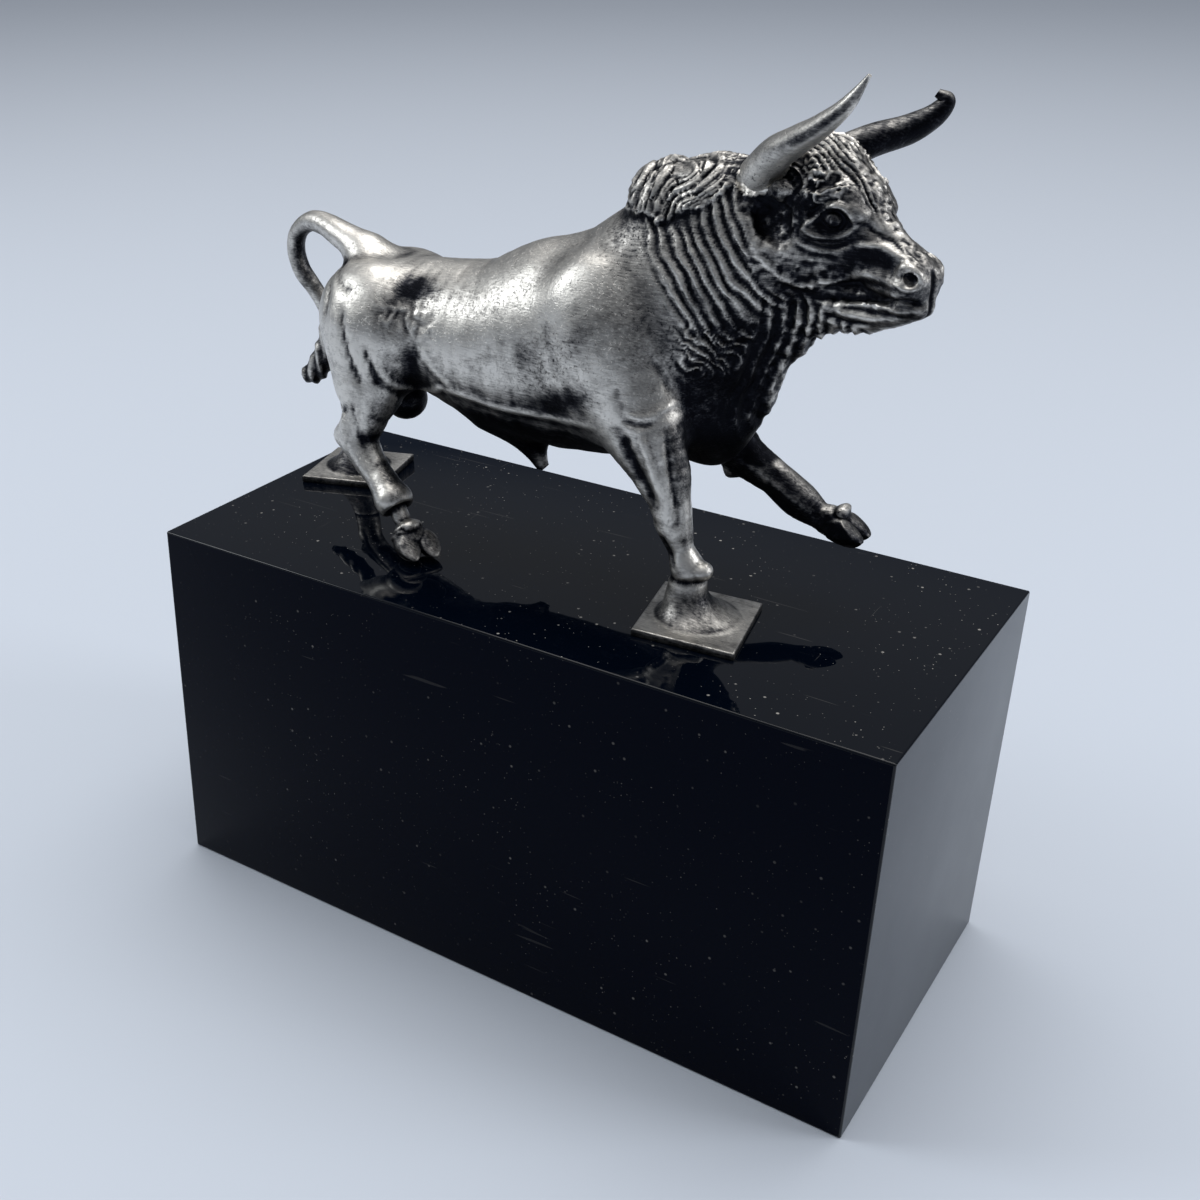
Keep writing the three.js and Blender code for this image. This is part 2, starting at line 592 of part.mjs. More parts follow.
// The skin is thinned by drawing together the ends of the edges that matter least to its form.
function thinned(startPoints, faces, wanted) {
  const points = startPoints.map((point) => [...point]);
  const corners = [];
  for (let i = 0; i < faces.length; i += 3) corners.push(faces.slice(i, i + 3));
  const facesOf = points.map(() => new Set());
  const squares = points.map(() => new Array(10).fill(0));
  const changes = new Uint32Array(points.length);
  corners.forEach((face, id) => {
    const cross = crossOf(face.map((point) => points[point]));
    const size = Math.hypot(...cross);
    const [a, b, c] = cross.map((value) => value / size);
    const [x, y, z] = points[face[0]];
    const plane = planeSquares(a, b, c, -(a * x + b * y + c * z), size);
    for (const point of face) {
      facesOf[point].add(id);
      plane.forEach((value, k) => {
        squares[point][k] += value;
      });
    }
  });

  const heap = [];
  const evenness = 2e-3;
  const offer = (a, b) => {
    const sum = squares[a].map((value, k) => value + squares[b][k]);
    const middlePoint = points[a].map((value, axis) => (value + points[b][axis]) / 2);
    const best = bestPoint(sum, middlePoint);
    const length = Math.hypot(...points[a].map((value, axis) => value - points[b][axis]));
    const cost = squaredDistance(sum, best) + evenness * length ** 3;
    heapPush(heap, [cost, a, b, best, changes[a], changes[b]]);
  };
  const around = (point) => {
    const touching = [...facesOf[point]].flatMap((id) => corners[id]);
    return new Set(touching.filter((other) => other !== point));
  };
  const turnsOver = (point, other, target) => [...facesOf[point]].some((id) => {
    if (corners[id].includes(other)) return false;
    const before = crossOf(corners[id].map((corner) => points[corner]));
    const after = crossOf(corners[id].map((corner) => (corner === point ? target : points[corner])));
    const dot = before[0] * after[0] + before[1] * after[1] + before[2] * after[2];
    return dot < 0.35 * Math.hypot(...before) * Math.hypot(...after) || Math.hypot(...after) < 0.02;
  });

  corners.forEach((face) => face.forEach((a, i) => {
    const b = face[(i + 1) % 3];
    if (a < b) offer(a, b);
  }));
  let left = corners.length;
  while (left > wanted && heap.length > 0) {
    const [, a, b, target, changeA, changeB] = heapPop(heap);
    if (changes[a] !== changeA || changes[b] !== changeB) continue;
    const [nearA, nearB] = [around(a), around(b)];
    const shared = [...nearA].filter((point) => nearB.has(point));
    if (shared.length !== 2 || turnsOver(a, b, target) || turnsOver(b, a, target)) continue;
    for (const id of [...facesOf[b]]) {
      if (corners[id].includes(a)) {
        for (const corner of corners[id]) facesOf[corner].delete(id);
        corners[id] = null;
        left -= 1;
      } else {
        corners[id] = corners[id].map((corner) => (corner === b ? a : corner));
        facesOf[a].add(id);
      }
    }
    facesOf[b].clear();
    points[a] = target;
    squares[a] = squares[a].map((value, k) => value + squares[b][k]);
    changes[a] += 1;
    changes[b] += 1;
    for (const point of around(a)) offer(a, point);
  }
  return { points, faces: corners.filter(Boolean).flat() };
}

function geometryOf(points, faces) {
  const geometry = new THREE.BufferGeometry();
  geometry.setAttribute('position', new THREE.Float32BufferAttribute(points.flat(), 3));
  geometry.setIndex(faces);
  return geometry;
}

// A closed skin over a row of rings with equal numbers of points, and a point at each end.
function skin(rings, start, end) {
  const sides = rings[0].length;
  const points = [...rings.flat(), start, end];
  const quads = [];
  for (let ring = 0; ring + 1 < rings.length; ring += 1) {
    for (let i = 0; i < sides; i += 1) {
      const next = (i + 1) % sides;
      quads.push([ring * sides + i, ring * sides + next, (ring + 1) * sides + next, (ring + 1) * sides + i]);
    }
  }
  const faces = splitQuads(points, quads);
  const last = (rings.length - 1) * sides;
  for (let i = 0; i < sides; i += 1) {
    const next = (i + 1) % sides;
    faces.push(next, i, rings.length * sides, last + i, last + next, rings.length * sides + 1);
  }
  return geometryOf(points, faces);
}

// A horn, tail or ear: round sections swept along the smooth curve through its rows.
function sweepGeometry(rows, { steps = 2, sides = 10 } = {}) {
  const stations = stationsOf(rows, steps);
  const centres = stations.map(([x, y, z]) => new THREE.Vector3(x, y, z));
  let side = null;
  const rings = stations.map((station, i) => {
    const ahead = centres[Math.min(i + 1, centres.length - 1)];
    const behind = centres[Math.max(i - 1, 0)];
    const along = ahead.clone().sub(behind).normalize();
    side = (side ?? new THREE.Vector3(0, 1, 0)).clone().projectOnPlane(along).normalize();
    const up = along.clone().cross(side);
    return Array.from({ length: sides }, (_, k) => {
      const angle = (k / sides) * Math.PI * 2;
      const [a, b] = [Math.cos(angle) * station[3] * station[4], Math.sin(angle) * station[3]];
      return centres[i].clone().addScaledVector(side, a).addScaledVector(up, b).toArray();
    });
  });
  const beyond = (end, inner) => {
    const out = centres[end].clone().sub(centres[inner]).normalize();
    return centres[end].clone().addScaledVector(out, stations[end][3] * 0.6).toArray();
  };
  const last = centres.length - 1;
  return skin(rings, beyond(0, 1), beyond(last, last - 1));
}

function ellipsoidGeometry(at, radii, { pitch = 0, yaw = 0 } = {}, [around, down] = [10, 7]) {
  const ball = new THREE.SphereGeometry(1, around, down);
  ball.scale(...radii);
  ball.applyMatrix4(turnOf(pitch, yaw));
  ball.translate(...at);
  return ball;
}

// A cloven hoof is two claws side by side.
function hoofGeometries({ at, claw, spread, yaw, pitch }) {
  return bothSides((side) => {
    const offset = side * claw[1] * spread;
    const centre = [at[0] - Math.sin(radians(yaw)) * offset, at[1] + Math.cos(radians(yaw)) * offset, at[2]];
    return ellipsoidGeometry(centre, claw, { yaw, pitch });
  });
}

function plateGeometry({ at, size, turn, skew, thick, stem, leg, rise: height }) {
  const sides = 16;
  const steps = 5;
  const along = [Math.cos(radians(turn)), Math.sin(radians(turn))];
  const across = [-Math.sin(radians(turn + skew)), Math.cos(radians(turn + skew))];
  const ring = (share, z) => Array.from({ length: sides }, (_, i) => {
    const angle = (i / sides) * Math.PI * 2 + Math.PI / 4;
    const [c, s] = [Math.cos(angle), Math.sin(angle)];
    const square = 0.5 / Math.max(Math.abs(c), Math.abs(s));
    const [a, b] = [size[0] * c * square, size[1] * s * square];
    return [0, 1].map((axis) => {
      const edge = at[axis] + a * along[axis] + b * across[axis];
      const round = leg[axis] + stem * (c * along[axis] + s * across[axis]);
      return THREE.MathUtils.lerp(edge, round, share);
    }).concat(z);
  });
  const flare = Array.from({ length: steps }, (_, i) => {
    const share = (i + 1) / steps;
    return ring(Math.sin((share * Math.PI) / 2), thick + (height - thick) * share ** 2.2);
  });
  const rings = [ring(0, 0), ring(0, thick), ...flare, ring(1, height + 1)];
  return skin(rings, [...at, 0], [...leg, height + 1]);
}

const wasm = await Module();
wasm.setup();

function solidOf(geometry) {
  geometry.deleteAttribute('normal');
  geometry.deleteAttribute('uv');
  const merged = mergeVertices(geometry, 1e-4);
  return new wasm.Manifold(new wasm.Mesh({
    numProp: 3,
    vertProperties: new Float32Array(merged.attributes.position.array),
    triVerts: new Uint32Array(merged.index.array),
  }));
}

const eye = (side) => ellipsoidGeometry(onHead([3.8, side * 4.0, 1.3]), [1.5, 1.1, 1.3], head, [8, 6]);
const earRows = [[-2.6, 4.0, 1.4, 1.1, 1], [-3.0, 6.2, 1.7, 1.3, 1], [-3.6, 8.0, 1.3, 0.4, 1]];
const ear = (side) => sweepGeometry(headRows(mirrored(earRows, side)), { sides: 8 });

const attachments = () => [
  plateGeometry(nearForePlate),
  plateGeometry(farHindPlate),
  sweepGeometry(nearHorn),
  sweepGeometry(farHorn),
  sweepGeometry(tail, { sides: 8 }),
  ...hoofGeometries(nearHindHoof),
  ...hoofGeometries(farForeHoof),
  ...bothSides(eye),
  ...bothSides(ear),
];

function bullGeometry() {
  const net = meshField(bullDistance, grid);
  relax(bullDistance, net, 2);
  const body = thinned(net.points, splitQuads(net.points, net.quads), bodyFaces);
  let cast = solidOf(geometryOf(body.points, body.faces));
  for (const piece of attachments()) cast = cast.add(solidOf(piece));
  const mesh = cast.getMesh();
  const geometry = new THREE.BufferGeometry();
  geometry.setAttribute('position', new THREE.BufferAttribute(mesh.vertProperties, 3));
  geometry.setIndex(new THREE.BufferAttribute(mesh.triVerts, 1));
  geometry.computeVertexNormals();
  return geometry;
}

function plinthGeometry() {
  const block = new RoundedBoxGeometry(plinth.length, plinth.width, plinth.height, 1, plinth.arris);
  block.translate(0, 0, plinth.height / 2);
  return block;
}

const figurine = new THREE.Group();
figurine.name = 'bull_figurine';

const plinthMesh = new THREE.Mesh(plinthGeometry(), blackStone);
plinthMesh.name = 'plinth';
figurine.add(plinthMesh);

const bullMesh = new THREE.Mesh(bullGeometry(), silver);
bullMesh.name = 'bull';
bullMesh.position.set(0, middle, plinth.height);
figurine.add(bullMesh);

export default figurine;
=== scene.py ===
# A walking bull cast in oxidised silver, on two foot plates on a polished black plinth.
# Blender works in metres. The bull's modelling sums are in millimetres, in the bull's own frame:
# x forward, y to its left, z up from the plinth's top.

import math
import bmesh
import bpy
import numpy as np
from mathutils import Matrix, Quaternion, Vector
from mathutils.bvhtree import BVHTree


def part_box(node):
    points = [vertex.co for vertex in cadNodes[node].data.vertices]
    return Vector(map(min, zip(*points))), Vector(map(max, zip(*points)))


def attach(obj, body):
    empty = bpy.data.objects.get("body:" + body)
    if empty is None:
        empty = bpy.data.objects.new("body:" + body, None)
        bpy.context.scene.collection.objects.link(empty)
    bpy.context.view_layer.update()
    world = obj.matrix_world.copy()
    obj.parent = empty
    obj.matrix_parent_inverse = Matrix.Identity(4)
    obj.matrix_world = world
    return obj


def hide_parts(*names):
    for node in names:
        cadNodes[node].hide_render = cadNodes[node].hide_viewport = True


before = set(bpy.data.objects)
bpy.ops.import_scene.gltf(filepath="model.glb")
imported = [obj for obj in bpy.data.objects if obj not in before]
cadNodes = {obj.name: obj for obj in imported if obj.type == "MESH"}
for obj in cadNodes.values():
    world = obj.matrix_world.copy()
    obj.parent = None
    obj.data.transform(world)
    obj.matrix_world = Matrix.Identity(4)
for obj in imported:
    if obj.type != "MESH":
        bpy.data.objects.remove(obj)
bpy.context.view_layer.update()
print("frame loaded:", sorted(cadNodes))

mm = 0.001


# small helpers for objects, meshes and nodes

def deselectAll():
    bpy.ops.object.select_all(action="DESELECT")


def makeActive(piece):
    deselectAll()
    piece.select_set(True)
    bpy.context.view_layer.objects.active = piece


def linkNew(name, data):
    made = bpy.data.objects.new(name, data)
    bpy.context.scene.collection.objects.link(made)
    return made


def applyModifiers(piece):
    makeActive(piece)
    for modifier in list(piece.modifiers):
        bpy.ops.object.modifier_apply(modifier=modifier.name)


def combine(piece, other, operation):
    modifier = piece.modifiers.new("combine", "BOOLEAN")
    modifier.operation = operation
    modifier.solver = "MANIFOLD"
    modifier.object = other
    applyModifiers(piece)
    bpy.data.meshes.remove(other.data)  # takes its object with it


def cleanMesh(piece):
    makeActive(piece)
    bpy.ops.object.mode_set(mode="EDIT")
    bpy.ops.mesh.select_all(action="SELECT")
    bpy.ops.mesh.remove_doubles(threshold=1e-7)
    bpy.ops.mesh.normals_make_consistent(inside=False)
    bpy.ops.object.mode_set(mode="OBJECT")


def smoothShade(piece, angle):
    makeActive(piece)
    bpy.ops.object.shade_smooth_by_angle(angle=math.radians(angle))


def readRows(items, name, width, kind=np.float32):
    flat = np.empty(len(items) * width, kind)
    items.foreach_get(name, flat)
    return flat.reshape(-1, width)


def newMaterial(name):
    material = bpy.data.materials.new(name)
    material.use_nodes = True
    return material, material.node_tree, material.node_tree.nodes["Principled BSDF"]


def addNode(tree, kind, **settings):
    node = tree.nodes.new(kind)
    for key, value in settings.items():
        if key in node.inputs:
            node.inputs[key].default_value = value
        else:
            setattr(node, key, value)
    return node


def rampOf(tree, value, stops):
    node = addNode(tree, "ShaderNodeValToRGB")
    elements = node.color_ramp.elements
    while len(elements) < len(stops):
        elements.new(0.5)
    for element, (place, colour) in zip(elements, stops):
        element.position = place
        element.color = (*colour, 1)
    tree.links.new(value, node.inputs["Fac"])
    return node.outputs["Color"]


# camera, floor and studio light

view = {
    "place": (0.102689, -0.181011, 0.159719),
    "azimuth": 34.411,
    "elevation": 26.379,
    "roll": -0.106,
    "lens": 45.0,
    "shift": (0.1122, -0.0133),
}


def addCamera():
    camera = bpy.data.cameras.new("photo_camera")
    camera.sensor_width = 36
    camera.lens = view["lens"]
    camera.shift_x, camera.shift_y = view["shift"]
    camera.clip_start, camera.clip_end = 0.01, 20
    seer = linkNew("photo_camera", camera)
    turn, tilt = math.radians(view["azimuth"]), math.radians(view["elevation"])
    back = Vector((math.sin(turn) * math.cos(tilt), -math.cos(turn) * math.cos(tilt), math.sin(tilt)))
    aim = (-back).to_track_quat("-Z", "Y")
    seer.rotation_mode = "QUATERNION"
    seer.rotation_quaternion = aim @ Quaternion((0, 0, 1), math.radians(view["roll"]))
    seer.location = view["place"]
    bpy.context.scene.camera = seer


studio = {
    "floorSize": 6.0,
    "floorColour": (0.62, 0.67, 0.75),
    "floorRoughness": 0.6,
    "floorShine": 0.25,
    "sky": [(0.05, (0.045, 0.056, 0.080)), (0.85, (0.66, 0.69, 0.74))],  # from the horizon up
    "skyStrength": 0.6,
    "lamps": [  # name, place, aimed at, size, watts, colour
        ("over", (-0.09, 0.26, 1.38), (0.0, 0.0, 0.06), (1.4, 1.05), 12.8, (1.0, 0.99, 0.97)),
        ("left", (-0.62, -0.30, 0.45), (0.0, 0.0, 0.08), (0.26, 0.36), 1.5, (0.93, 0.97, 1.0)),
        ("right", (0.60, 0.25, 0.35), (0.0, 0.0, 0.07), (0.25, 0.35), 1.3, (0.95, 0.97, 1.0)),
    ],
}


def addFloor():
    bpy.ops.mesh.primitive_plane_add(size=studio["floorSize"], location=(0, 0, 0))
    floor = bpy.context.object
    floor.name = "floor"
    material, _, shader = newMaterial("pale_floor")
    shader.inputs["Base Color"].default_value = (*studio["floorColour"], 1)
    shader.inputs["Roughness"].default_value = studio["floorRoughness"]
    shader.inputs["Specular IOR Level"].default_value = studio["floorShine"]
    floor.data.materials.append(material)


def addWorld():
    world = bpy.data.worlds.new("studio")
    bpy.context.scene.world = world
    world.use_nodes = True
    tree = world.node_tree
    split = addNode(tree, "ShaderNodeSeparateXYZ")
    tree.links.new(addNode(tree, "ShaderNodeTexCoord").outputs["Generated"], split.inputs[0])
    sky = rampOf(tree, split.outputs["Z"], studio["sky"])
    tree.links.new(sky, tree.nodes["Background"].inputs["Color"])
    tree.nodes["Background"].inputs["Strength"].default_value = studio["skyStrength"]


def addLamps():
    for name, place, target, size, watts, colour in studio["lamps"]:
        light = bpy.data.lights.new(name, "AREA")
        light.shape = "RECTANGLE"
        light.size, light.size_y = size
        light.energy = watts
        light.color = colour
        lamp = linkNew(name, light)
        lamp.location = place
        aim = Vector(target) - Vector(place)
        lamp.rotation_euler = aim.to_track_quat("-Z", "Y").to_euler()


bpy.context.scene.view_settings.view_transform = "Standard"
addCamera()
addFloor()
addWorld()
addLamps()
print("camera, floor and light set")


# the bull's body as smooth forms in millimetres: limbs, masses and hollows

bullPlace = np.array([0.0, 0.5, 61.0])  # where the bull's frame starts, from the middle of the underside

# rows along a limb: x, y, z, half its height, and how wide it is against that, 1 if left out
trunk = [
    (-37, 0, 32.8, 8.8, 0.95), (-26, 0, 32.5, 10.1, 0.92), (-14, 0, 31.6, 12.6, 0.84),
    (-3, 0, 33.5, 15.5, 0.73), (6, 0, 35.0, 15.7, 0.69), (13, 0, 39.5, 15.2, 0.62),
]
neck = [
    (9, 0, 39, 13.6, 0.64), (17, 0, 46, 13, 0.62), (24, 0, 51.5, 10.6, 0.64), (30, -0.3, 55, 8.0, 0.75),
]
dewlap = [
    (20, 0, 24.8, 4.4, 0.7), (24.6, 0, 31, 3.6, 0.6), (27.8, 0, 37, 2.9, 0.6),
    (31.4, -0.8, 42, 2.9, 0.7), (36, -1.6, 45.6, 2.8, 0.8),
]
nearForeLeg = [
    (7, -7.2, 37, 8.0, 0.65), (12.5, -8.8, 28.5, 6.4, 0.72), (16.6, -9.3, 22.4, 4.5, 0.8),
    (18.8, -9.4, 17.8, 2.9, 0.95), (19.6, -9.5, 14.8, 2.7), (21.0, -9.5, 10.8, 1.8),
    (22.3, -9.3, 7.8, 2.5),
]
farForeLeg = [
    (9, 7.0, 35, 7.6, 0.65), (15.5, 7.6, 25.2, 5.2, 0.75), (22.0, 7.5, 19.5, 3.2, 0.85),
    (27.0, 7.5, 17.0, 2.5, 0.95), (30.8, 7.4, 14.7, 2.7), (34.0, 7.4, 13.0, 1.9),
    (36.2, 7.3, 12.6, 2.3),
]
nearHindLeg = [
    (-33.5, -6.0, 31.0, 8.6, 0.72), (-34.2, -7.6, 25.2, 6.6, 0.7), (-33.2, -9.2, 20.4, 3.5, 0.85),
    (-35.0, -9.8, 16.0, 3.5, 0.75), (-33.0, -10.4, 13.0, 2.9, 0.8), (-30.2, -11.2, 10.8, 2.3, 0.95),
    (-26.8, -12.4, 8.3, 2.6),
]
nearHindPastern = [(-26.4, -12.5, 7.6, 1.9), (-24.2, -13.2, 5.2, 1.7), (-22.4, -13.7, 3.4, 2.0, 1.1)]
farHindLeg = [
    (-36.0, 6.5, 31.0, 8.6, 0.72), (-39.5, 8.0, 25.5, 6.0, 0.72), (-46.0, 9.0, 20.5, 3.9, 0.8),
    (-50.2, 9.2, 16.4, 3.1, 0.8), (-50.9, 9.2, 12.0, 2.2, 0.95), (-50.5, 9.2, 7.0, 2.4),
]
tail = [
    (-40, 0.2, 42.2, 2.4, 1.2), (-44.5, 0.5, 43.4, 2.2, 1.1), (-49.4, 1.5, 44.6, 1.8),
    (-53.0, 2.3, 44.4, 1.6), (-56.2, 3.1, 42.2, 1.5), (-57.5, 3.7, 39.2, 1.5),
    (-57.0, 4.3, 35.7, 1.5), (-54.8, 4.7, 32.8, 1.4), (-52.5, 5.0, 29.4, 1.4),
    (-52.5, 5.3, 25.6, 1.7), (-53.9, 5.5, 21.2, 2.1), (-56.6, 5.5, 17.8, 1.9, 0.9),
    (-58.8, 5.5, 17.0, 0.7, 0.9),
]
nearHorn = [
    (25.2, -3.6, 61.2, 2.4), (28.5, -6.2, 64.5, 2.15), (32.0, -8.1, 66.8, 1.75),
    (35.3, -9.7, 68.9, 1.4), (38.6, -11.0, 71.7, 0.95), (41.2, -11.9, 75.2, 0.2),
]
farHorn = [
    (31.5, 2.0, 62.6, 2.3), (36.5, 4.3, 65.3, 2.05), (40.4, 6.9, 66.8, 1.8),
    (43.0, 8.3, 68.7, 1.35), (43.8, 8.6, 70.2, 1.0), (42.6, 8.4, 71.0, 0.5),
]
head = {"at": (33.5, -0.2, 57.5), "yaw": -17, "pitch": -20}  # u to the nose, v to the bull's left, w to the brow
nearHindHoof = {
    "at": (-21.0, -14.0, 2.2), "claw": (3.3, 1.8, 1.8), "spread": 0.95, "yaw": -28, "pitch": -10,
    "front": 1.5, "slant": 0.62, "sole": 1.4,
}
farForeHoof = {
    "at": (38.4, 7.2, 11.9), "claw": (3.0, 1.6, 1.9), "spread": 0.9, "yaw": 0, "pitch": -10,
    "front": 1.7, "slant": 0.6, "sole": 1.45,
}

# the foot plates under the near foreleg and the far hind leg
plates = [
    {"at": (24.1, -9.0), "size": (15.0, 16.4), "turn": 5, "skew": 6, "thick": 1.1, "stem": 2.7, "foot": 6.9,
     "leg": (22.3, -9.3), "rise": 6.2},
    {"at": (-50.4, 9.2), "size": (14.2, 14.6), "turn": 20, "skew": -6, "thick": 1.1, "stem": 2.3, "foot": 6.4,
     "leg": (-50.5, 9.2), "rise": 6.0},
]

formReach = 5.0  # a form is only worked out this near to its box
farOff = 18.0  # distance given to points that no form reaches
curveSteps = 5  # steps from one row of a curve to the next
slopeStep = 0.03  # step over which the field's slope is taken
longestMove = 1.0  # furthest a point is drawn to the forms in one round


def ease(value, none, whole):
    # from 0 at the first place to 1 at the second, which may be the lower one, with soft ends
    part = np.clip((value - none) / (whole - none), 0, 1)
    return part * part * (3 - 2 * part)


def smoothMin(a, b, blend):
    overlap = np.maximum(blend - np.abs(a - b), 0) / blend
    return np.minimum(a, b) - overlap * overlap * blend / 4


def curvePoints(rows, places):
    # a centripetal Catmull-Rom curve through the rows' first three numbers
    knots = np.array([row[:3] for row in rows], float)
    knots = np.vstack([2 * knots[0] - knots[1], knots, 2 * knots[-1] - knots[-2]])
    made = []
    for place in places:
        at = min(int(place), len(rows) - 2)
        part = place - at
        p0, p1, p2, p3 = knots[at:at + 4]
        d0, d1, d2 = [max(np.linalg.norm(b - a) ** 0.5, 1e-2) for a, b in ((p0, p1), (p1, p2), (p2, p3))]
        leave = ((p1 - p0) / d0 - (p2 - p0) / (d0 + d1) + (p2 - p1) / d1) * d1
        arrive = ((p2 - p1) / d1 - (p3 - p1) / (d1 + d2) + (p3 - p2) / d2) * d1
        made.append(p1 + leave * part + (3 * (p2 - p1) - 2 * leave - arrive) * part ** 2
                    + (2 * (p1 - p2) + leave + arrive) * part ** 3)
    return np.array(made)


def stationsOf(rows, steps):
    rows = [(*row, 1.0)[:5] for row in rows]
    places = np.linspace(0, len(rows) - 1, (len(rows) - 1) * steps + 1)
    at = np.minimum(places.astype(int), len(rows) - 2)
    part = ease(places - at, -0.15, 1.15)[:, None]
    sizes = np.array(rows)[:, 3:]
    return np.hstack([curvePoints(rows, places), sizes[at] + part * (sizes[at + 1] - sizes[at])])


def limb(rows, blend=3.0):
    stations = stationsOf(rows, curveSteps)
    reach = (stations[:, 3] * np.maximum(stations[:, 4], 1))[:, None]

    def distance(points):
        nearest = np.full(len(points), 1e3)
        for a, b in zip(stations[:-1], stations[1:]):
            along = b[:3] - a[:3]
            part = np.clip((points - a[:3]) @ along / (along @ along), 0, 1)
            off = points - a[:3] - part[:, None] * along
            off[:, 1] /= a[4] + part * (b[4] - a[4])
            reachHere = a[3] + part * (b[3] - a[3])
            nearest = np.minimum(nearest, np.sqrt((off * off).sum(1)) - reachHere)
        return nearest * 0.85  # held back, since the ovals are squashed

    return {"distance": distance, "blend": blend,
            "low": (stations[:, :3] - reach).min(0), "high": (stations[:, :3] + reach).max(0)}


def turnOf(pitch, yaw):
    turn = Matrix.Rotation(math.radians(yaw), 3, "Z") @ Matrix.Rotation(math.radians(-pitch), 3, "Y")
    return np.array(turn)


def mass(at, radii, blend=3.0, pitch=0, yaw=0):
    turn = turnOf(pitch, yaw)
    centre = np.array(at, float)
    half = np.array(radii, float)

    def distance(points):
        local = (points - centre) @ turn / half
        unit = np.sqrt((local * local).sum(1))
        slope = np.sqrt(((local / half) ** 2).sum(1))
        return unit * (unit - 1) / np.maximum(slope, 1e-6)

    return {"distance": distance, "blend": blend, "low": centre - half.max(), "high": centre + half.max()}


headTurn = turnOf(head["pitch"], head["yaw"])


def onHead(point):
    return tuple(headTurn @ np.array(point[:3], float) + np.array(head["at"]))


def headSpace(points):
    return (points - np.array(head["at"])) @ headTurn


def headMass(at, radii, blend, pitch=0, yaw=0):
    return mass(onHead(at), radii, blend, head["pitch"] + pitch, head["yaw"] + yaw)


def headLimb(rows, blend):
    return limb([(*onHead(row), *row[3:]) for row in rows], blend)


def bothSides(make):
    return [make(-1), make(1)]


def hoofForms(hoof, blend):
    turn = math.radians(hoof["yaw"])
    forms = []
    for side in (-1, 1):
        off = side * hoof["claw"][1] * hoof["spread"]
        at = (hoof["at"][0] - math.sin(turn) * off, hoof["at"][1] + math.cos(turn) * off, hoof["at"][2])
        forms.append(mass(at, hoof["claw"], blend, hoof["pitch"], hoof["yaw"]))
    return forms


snout = [(4, 0, 0, 4.7, 0.85), (10, 0, -1.2, 3.6, 0.85), (14.2, 0, -1.4, 3.1, 0.95)]
noseBridge = [(4, 0, 3.6, 2.2, 1.2), (10, 0, 1.6, 1.5, 1.2), (15.2, 0, 0.4, 1.1, 1.3)]
lowerJaw = [(2, 0, -8.8, 4.0, 0.9), (8.5, 0, -9.0, 3.4, 0.85), (13.2, 0, -6.6, 2.4, 0.95), (17.6, 0, -3.4, 1.6, 1.2)]
brow = [(0.6, 4.4, 2.4, 0.8), (3.8, 3.9, 3.6, 1.0), (6.6, 2.9, 3.1, 0.8)]
ear = [(-2.6, 4.0, 1.4, 1.1), (-3.0, 6.2, 1.7, 1.3), (-3.6, 8.0, 1.3, 0.4)]


def mirrored(rows, side):
    return [(row[0], row[1] * side, *row[2:]) for row in rows]


headForms = [
    headMass((-1, 0, 1.2), (7, 5.4, 6.2), 3),  # skull
    headMass((1.2, 0, 2.8), (5.2, 4.3, 3.9), 2),  # forehead
    headMass((-2.4, 0, 5.2), (4, 4.6, 3.2), 2),  # poll
    headMass((1, 0, -4.6), (6.6, 4.5, 5.4), 2.5),  # cheeks
    headLimb(snout, 2.2),
    headLimb(noseBridge, 1.5),
    headLimb(lowerJaw, 1.4),
    headMass((15.7, 0, -1.3), (2.5, 3.4, 2.8), 1.2),  # muzzle
    *bothSides(lambda side: headLimb(mirrored(brow, side), 0.8)),
    *bothSides(lambda side: headMass((15.6, side * 2.1, 0.1), (1.5, 1.1, 1.2), 0.6)),  # wings of the nostrils
]

headHollows = [
    *bothSides(lambda side: headMass((3.7, side * 6.1, 1.2), (2.3, 1.6, 1.7), 0.8)),  # eye sockets
    *bothSides(lambda side: headMass((-2.0, side * 6.9, -1.8), (3.4, 1.5, 2.8), 1.5)),  # temples
    *bothSides(lambda side: headMass((16.5, side * 3.3, 0.1), (0.9, 1.0, 0.8), 0.4)),  # nostrils
]

